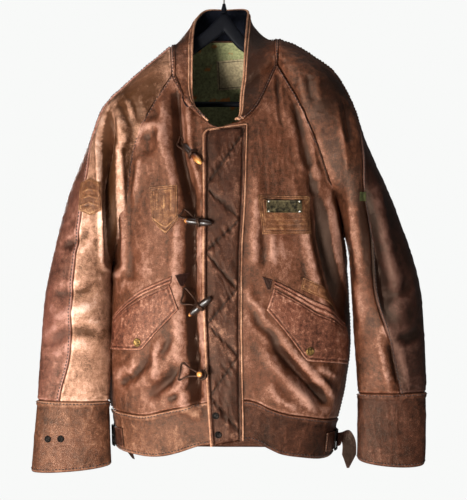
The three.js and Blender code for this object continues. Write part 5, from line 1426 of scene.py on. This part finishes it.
TAB_TOP, TAB_FOOT, BRAID_THICK = [(236, 414), (247, 414)], [(236, 430), (247, 430)], 1.1
left_sleeve_tree = tree_of(fine["sleeve_left_front"], fine["sleeve_left_back"])
grid, out, _ = lay(left_sleeve_tree, TAB_TOP, TAB_FOOT, ahead_of(-60), (11, 16), 0.6, 0, 1)
height = BRAID_THICK * rounded_edge(from_edges(grid), 0.7)
tab = lay_piece("tab_sleeve_left", grid, out, height, olive_braid, under="sleeve_left_front")
stands_for(tab, "tab_sleeve_left")


# Metal plate on the chest patch: thin stamped zinc gone dark, with a raised rim and a bare middle that has
# kept a little of its yellow plating. Four small steel rivets go through its corners.
PLATE_TOP, PLATE_FOOT, PLATE_SIZE = [(73, 429), (133, 429)], [(73, 451), (133, 451)], (60, 22)
PLATE_THICK, PLATE_DISH = 1.0, 0.4
plated, plated_tree, plated_shader = new_material("worn_plated_zinc", Metallic=0.9, Roughness=0.42)
plate_place = add_node(plated_tree, "ShaderNodeTexCoord").outputs["Object"]
plate_cloud = add_node(plated_tree, "ShaderNodeTexNoise",
                       Vector=plate_place, Scale=130, Detail=6, Roughness=0.7).outputs["Fac"]
plate_ramp = add_node(plated_tree, "ShaderNodeValToRGB", Fac=plate_cloud)
plate_colours = plate_ramp.color_ramp.elements
plate_colours[0].position, plate_colours[0].color = 0.42, linear("#25221b")
plate_colours[1].position, plate_colours[1].color = 0.66, linear("#7d7050")
plate_rough = add_node(plated_tree, "ShaderNodeMapRange", Value=plate_cloud, i1=0.3, i2=0.7, i3=0.62, i4=0.32)
plate_bump = add_node(plated_tree, "ShaderNodeBump", Height=plate_cloud, Strength=0.4, Distance=0.0004)
plated_tree.links.new(plate_ramp.outputs["Color"], plated_shader.inputs["Base Color"])
plated_tree.links.new(plate_rough.outputs[0], plated_shader.inputs["Roughness"])
plated_tree.links.new(plate_bump.outputs["Normal"], plated_shader.inputs["Normal"])

grid, out, _ = lay(
    tree_of(fine["patch_rectangle"]), on_body(PLATE_TOP), on_body(PLATE_FOOT), ON_BODY, PLATE_SIZE, 0.4, 0, 1)
to_edge = from_edges(grid)
height = PLATE_THICK * rounded_edge(to_edge, 0.5) - PLATE_DISH * smooth(to_edge, 1.6, 2.4)
stands_for(lay_piece("metal_plate", grid, out, height, plated), "metal_plate")


def turned(name, place, way, profile, material, sides=32):
    """A round pressed piece: a disc drawn up in steps of radius and height, set square to its place."""
    bpy.ops.object.select_all(action="DESELECT")
    bpy.ops.mesh.primitive_circle_add(vertices=sides, radius=profile[0][0] * MM, fill_type="NGON")
    made = bpy.context.object
    made.name = name
    bpy.ops.object.mode_set(mode="EDIT")
    bpy.ops.mesh.select_all(action="SELECT")
    for (radius, height), (last_radius, last_height) in zip(profile[1:], profile[:-1]):
        rise = (0, 0, (height - last_height) * MM)
        bpy.ops.mesh.extrude_region_move(TRANSFORM_OT_translate={"value": rise})
        share = radius / last_radius
        bpy.ops.transform.resize(value=(share, share, 1), center_override=(0, 0, height * MM))
    bpy.ops.mesh.select_all(action="SELECT")
    bpy.ops.mesh.normals_make_consistent(inside=False)
    bpy.ops.object.mode_set(mode="OBJECT")
    made.rotation_euler = Vector(way).to_track_quat("Z", "Y").to_euler()
    made.location = Vector(place) * MM
    bpy.ops.object.transform_apply(location=True, rotation=True, scale=True)
    made.data.materials.append(material)
    made.data.shade_smooth()
    made.data.set_sharp_from_angle(angle=math.radians(40))
    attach(made, "root")
    return made


def dirty_metal(name, bare, dark, rough):
    """Cast or pressed metal, bright where it is rubbed and dull where dirt has stayed."""
    made, tree, shader = new_material(name, Metallic=1.0, Roughness=rough)
    place = add_node(tree, "ShaderNodeTexCoord").outputs["Object"]
    cloud = add_node(tree, "ShaderNodeTexNoise",
                     Vector=place, Scale=300, Detail=5, Roughness=0.65).outputs["Fac"]
    ramp = add_node(tree, "ShaderNodeValToRGB", Fac=cloud)
    colours = ramp.color_ramp.elements
    colours[0].position, colours[0].color = 0.36, linear(dark)
    colours[1].position, colours[1].color = 0.62, linear(bare)
    dull = add_node(tree, "ShaderNodeMapRange", Value=cloud, i1=0.3, i2=0.7, i3=rough + 0.2, i4=rough)
    tree.links.new(ramp.outputs["Color"], shader.inputs["Base Color"])
    tree.links.new(dull.outputs[0], shader.inputs["Roughness"])
    return made


def under_at(tree, near, out):
    """The place on a surface under a point, and the direction out of it, leaning to the point's own."""
    hit, normal, _, _ = tree.ray_cast(Vector(near + out * CAST_FROM), Vector(-out))
    normal = np.array(normal)
    if normal @ out < 0:
        normal = -normal
    return np.array(hit), unit(normal + 2 * out)


bright_steel = dirty_metal("bright_steel", "#d8d8d4", "#8c8880", 0.25)
aged_brass = dirty_metal("aged_brass", "#84683c", "#33261a", 0.42)
black_nickel = dirty_metal("black_nickel", "#1f1c1a", "#0c0a09", 0.5)
plate_tree = tree_of(fine["metal_plate"])
RIVETS = [(77, 431.5), (129, 431.5), (77, 448.5), (129, 448.5)]
RIVET_PROFILE = [(1.9, 0), (1.9, 0.4), (1.6, 0.9), (0.9, 1.25), (0.3, 1.35)]
for number, (x, drop) in enumerate(RIVETS, 1):
    angle = body_angle(x, drop)
    place, way = under_at(plate_tree, body(angle, drop), beside_body(angle, drop))
    rivet = turned(f"plate_rivet_{number}_head", place - way * 0.2, way, RIVET_PROFILE, bright_steel, 20)
    stands_for(rivet, f"plate_rivet_{number}")


# Snaps: pressed caps over a spring socket, brass on the pockets and black on the storm flap and the cuff.
# Each cap has a rolled rim round a shallow dish and is pressed a little into the hide.
SNAPS = {
    "snap_pocket_right": ("pocket_flap_right", (-147, 674), 7.5, aged_brass, "brass"),
    "snap_pocket_left": ("pocket_flap_left", (147, 689), 7.5, aged_brass, "brass"),
    "snap_storm_flap_1": ("storm_flap", (-13, 797), 6, black_nickel, "dark_metal"),
    "snap_storm_flap_2": ("storm_flap", (-9, 830), 6, black_nickel, "dark_metal"),
    "snap_cuff_right_1": ("cuff_right", (-307, 845), 6, black_nickel, "dark_metal"),
    "snap_cuff_right_2": ("cuff_right", (-284, 844), 6, black_nickel, "dark_metal"),
}
CAP_PROFILE = [(1, 0), (1.02, 0.5), (1, 1.3), (0.92, 1.9), (0.8, 2.1), (0.7, 1.95), (0.6, 1.6), (0.35, 1.5),
               (0.1, 1.6)]
for name, (under, (x, drop), radius, metal, slot) in SNAPS.items():
    if under == "cuff_right":
        near, out = np.array([x, -60.0, -drop]), np.array([0, -1.0, 0])
    else:
        angle = body_angle(x, drop)
        near, out = body(angle, drop), beside_body(angle, drop)
    place, way = under_at(tree_of(fine[under]), near, out)
    cap = turned(name + "_cap", place - way * 0.3, way, [(r * radius, h) for r, h in CAP_PROFILE], metal)
    stands_for(cap, name)


# Side straps: on each side of the waistband a tab carries a buckle of black wire, and a strap of doubled
# hide goes through it. The left strap's loose end is twisted and hangs below the hem.
TAB_THICK, STRAP_THICK = 2.4, 2.4
BUCKLE_WIDE, BUCKLE_HIGH, BUCKLE_WIRE = 24, 38, 3.2
SIDES = {
    "right": ([(-62, 826), (-98, 826)], [(-62, 860), (-98, 860)], (-80, 843)),
    "left": ([(62, 834), (98, 834)], [(62, 868), (98, 868)], (80, 851)),
}
# A strap's stops are its middle, the direction of its width and half its width.
STRAPS = {
    "side_strap_left": [
        ((200.6, -26, -851), (0, 0, 1), 12), ((207, -37, -848), (0.15, -0.1, 0.98), 12),
        ((214, -45, -841), (0.6, -0.3, 0.75), 12), ((220, -50, -854), (1, -0.1, 0.2), 12),
        ((220, -51, -874), (1, 0, 0.05), 12.5), ((218, -50, -898), (1, 0, 0), 2)],
    "side_strap_right": [
        ((-199.3, 8, -842), (0, 0, 1), 12), ((-199.8, 25, -845), (-0.1, 0.1, 1), 12),
        ((-192, 48, -855), (-0.5, 0.2, 0.85), 12), ((-182, 66, -872), (-0.85, 0.3, 0.5), 12),
        ((-167, 74, -900), (-1, 0.2, 0.3), 2)],
}
def at_degrees(points):
    return [(math.radians(angle), drop) for angle, drop in points]


TAB_SIZE, TONGUE_RADIUS = (62, 34), 1.1
BOW = [(-1, -0.8), (-0.9, -0.97), (-0.7, -1), (0.7, -1), (0.9, -0.97), (1, -0.8), (1, 0.8), (0.9, 0.97),
       (0.7, 1), (-0.7, 1), (-0.9, 0.97), (-1, 0.8), (-1, -0.8), (-0.9, -0.97)]
half_wide, half_high = (BUCKLE_WIDE - BUCKLE_WIRE) / 2, (BUCKLE_HIGH - BUCKLE_WIRE) / 2
for side, (top, foot, at_buckle) in SIDES.items():
    front = "waistband_front_" + side
    band_tree = tree_of(fine[front], fine["waistband_back"])
    grid, out, _ = lay(band_tree, at_degrees(top), at_degrees(foot), ON_BODY, TAB_SIZE, 0.6, 1)
    height = hemmed(from_edges(grid), TAB_THICK, 1.2, 4, 0.5)
    side_tab = lay_piece("side_tab_" + side, grid, out, height, dark_hide, under=front)
    stands_for(side_tab, "side_tab_" + side)

    angle, drop = math.radians(at_buckle[0]), at_buckle[1]
    near, out = body(angle, drop), beside_body(np.array(angle), np.array(float(drop)))
    place, way = under_at(tree_of(fine["side_tab_" + side]), near, out)
    across = unit(np.cross((0, 0, 1), way))
    rise = np.cross(way, across)
    on_tab = place + way * (LEATHER / 2 + 0.3)
    ring = np.array([on_tab + across * (x * half_wide) + rise * (z * half_high) for x, z in BOW])
    buckle = piping("buckle_" + side + "_frame", ring, BUCKLE_WIRE / 2, black_nickel)
    stands_for(buckle, "buckle_" + side)
    tongue = [place + way * 1.5 - across * half_wide, place + way * 2.4,
              place + way * 2.2 + across * half_wide]
    bar = piping("buckle_" + side + "_tongue", smooth_line(tongue, 12), TONGUE_RADIUS, black_nickel)

STRAP_STEPS, STRAP_COLUMNS = 46, 17
for name, stops in STRAPS.items():
    middles, wides, halves = zip(*stops)
    middle, wide = smooth_line(middles, STRAP_STEPS), unit(smooth_line(wides, STRAP_STEPS))
    half = np.interp(np.linspace(0, len(stops) - 1, STRAP_STEPS), range(len(stops)), halves)
    across = np.linspace(-1, 1, STRAP_COLUMNS)
    grid = middle[:, None] + wide[:, None] * (half[:, None] * across)[..., None]
    to_edge = from_edges(grid)
    thick = STRAP_THICK / 2 * (0.45 + 0.55 * rounded_edge(to_edge, 1.2)) - 0.3 * bump_at(to_edge, 3, 0.7)
    swelled = cross_normals(grid, False) * thick[..., None]
    strap = make_wall(name, grid + swelled, grid - swelled, False, False, tack_hide,
                      wear=0.3 - smooth(to_edge, 0, 3))
    hung(grid, False)
    stands_for(strap, name)


# Clothes hanger: navy-black moulded plastic arms of rounded section with a trouser bar, and a hook of
# steel wire screwed into a small cone. The jacket hangs with its shoulder seams along the arms.
ARM_DEPTH, ARM_HEIGHT, ARM_CLEAR = 12, 22, 1.1
ARM_K = 8 / 9 * np.array([5, 4, 3, 2, 1])
HUB_RIGHT = [(-86, 163, 22), (-60, 143, 22), (-32, 120, 24), (-13, 101, 30)]
HUB_MIDDLE = (0, 91, 34)
HUB_LEFT = [(86, 153, 22), (62, 149, 22), (38, 134, 24), (14, 104, 30)]
BAR_DROP, BAR_RADIUS = 254, 5
WIRE_RADIUS, HOOK_RADIUS = 1.6, 19
ARM_STEPS, ARM_SIDES = 120, 24


def arm_stop(sleeve, k):
    x, drop, y = sleeve["ridge"](k)
    x1, drop1, _ = sleeve["ridge"](k + 0.1)
    x0, drop0, _ = sleeve["ridge"](max(k - 0.1, 0))
    along = unit(np.array([x1 - x0, 0, drop0 - drop1]))
    down = np.array([along[2], 0, -along[0]]) * np.sign(x)
    return np.array([x, y, -drop]) + down * (LEATHER + ARM_CLEAR), down, ARM_HEIGHT


def hub_stop(x, drop, height):
    down = np.array([-np.sign(x) * min(abs(x) / 60, 0.5), 0, -1.0])
    return np.array([x, 0.0, -drop]), unit(down), height


stops = [arm_stop(RIGHT_SLEEVE, k) for k in ARM_K]
stops += [hub_stop(*stop) for stop in HUB_RIGHT + [HUB_MIDDLE] + HUB_LEFT[::-1]]
stops += [arm_stop(LEFT_SLEEVE, k) for k in ARM_K[::-1]]
top_stops, down_stops, height_stops = zip(*stops)
tops, downs = smooth_line(top_stops, ARM_STEPS)[:, None], unit(smooth_line(down_stops, ARM_STEPS))[:, None]
heights = smooth_line([[height] for height in height_stops], ARM_STEPS)
turn = np.linspace(0, 2 * math.pi, ARM_SIDES, endpoint=False)
across, deep = powered(np.sin(turn), 0.6) * ARM_DEPTH / 2, 0.5 - powered(np.cos(turn), 0.6) / 2
ring = tops + downs * (heights * deep)[..., None] + np.array([0, 1.0, 0]) * across[:, None]
plastic, plastic_tree, plastic_shader = new_material(
    "moulded_navy_polystyrene", Base_Color=linear("#030409"), Roughness=0.8, Specular_IOR_Level=0.1)
plastic_place = add_node(plastic_tree, "ShaderNodeTexCoord").outputs["Object"]
scuffs = add_node(plastic_tree, "ShaderNodeTexNoise",
                  Vector=plastic_place, Scale=180, Detail=5, Roughness=0.7).outputs["Fac"]
scuffed = add_node(plastic_tree, "ShaderNodeMapRange", Value=scuffs, i1=0.3, i2=0.7, i3=0.55, i4=0.7)
plastic_bump = add_node(plastic_tree, "ShaderNodeBump", Height=scuffs, Strength=0.15, Distance=0.0003)
plastic_tree.links.new(scuffed.outputs[0], plastic_shader.inputs["Roughness"])
plastic_tree.links.new(plastic_bump.outputs["Normal"], plastic_shader.inputs["Normal"])

numbers = np.arange(ARM_STEPS * ARM_SIDES).reshape(ARM_STEPS, ARM_SIDES)
quads = quads_of(np.concatenate([numbers, numbers[:, :1]], 1)).tolist()
quads += [numbers[0][::-1].tolist(), numbers[-1].tolist()]
arms = put_in("hanger_arms_moulded", ring.reshape(-1, 3), quads, plastic)
select_only(arms)
bpy.ops.object.mode_set(mode="EDIT")
bpy.ops.mesh.select_all(action="SELECT")
bpy.ops.mesh.normals_make_consistent(inside=False)
bpy.ops.object.mode_set(mode="OBJECT")
stands_for(arms, "hanger_arms")

BAR_STATIONS = ((RIGHT_SLEEVE, 2.6), (LEFT_SLEEVE, 4.1))
bar_ends = []
for sleeve, k in BAR_STATIONS:
    top, down, height = arm_stop(sleeve, k)
    bar_ends.append([top + down * (height + 0.5), top + down * (height + 1 + BAR_RADIUS)])
bar_points = bar_ends[0] + [np.array([x, 0, -BAR_DROP]) for x in (-150, -60, 60, 160)] + bar_ends[1][::-1]
bar = piping("hanger_bar_moulded", smooth_line(bar_points, 80), BAR_RADIUS, plastic)
stands_for(bar, "hanger_bar")

CONE_FOOT = (0, 0, -90.6)
CONE_PROFILE = [(6, 0), (6, 1.5), (5.2, 3), (4.6, 6), (4.8, 7), (3.6, 12), (2.6, 16.6), (1.7, 16.6)]
cone = turned("hanger_cone_moulded", CONE_FOOT, (0, 0, 1), CONE_PROFILE, plastic)
stands_for(cone, "hanger_cone")

HOOK_STEM = [(0, 0, -75), (0, 0, -62), (2, 0, -50)]
hook_reach = HOOK_RADIUS + WIRE_RADIUS
hook_turn = np.linspace(2.3, -1.9, 40)
hook_ring = np.stack([
    hook_reach * np.sin(hook_turn), 0 * hook_turn, hook_reach * np.cos(hook_turn) - HOOK_RADIUS], -1)
hook_line = np.concatenate([smooth_line(HOOK_STEM + [hook_ring[0]], 16)[:-1], hook_ring])
hook = piping("hanger_hook_wire", hook_line, WIRE_RADIUS, bright_steel)
stands_for(hook, "hanger_hook")
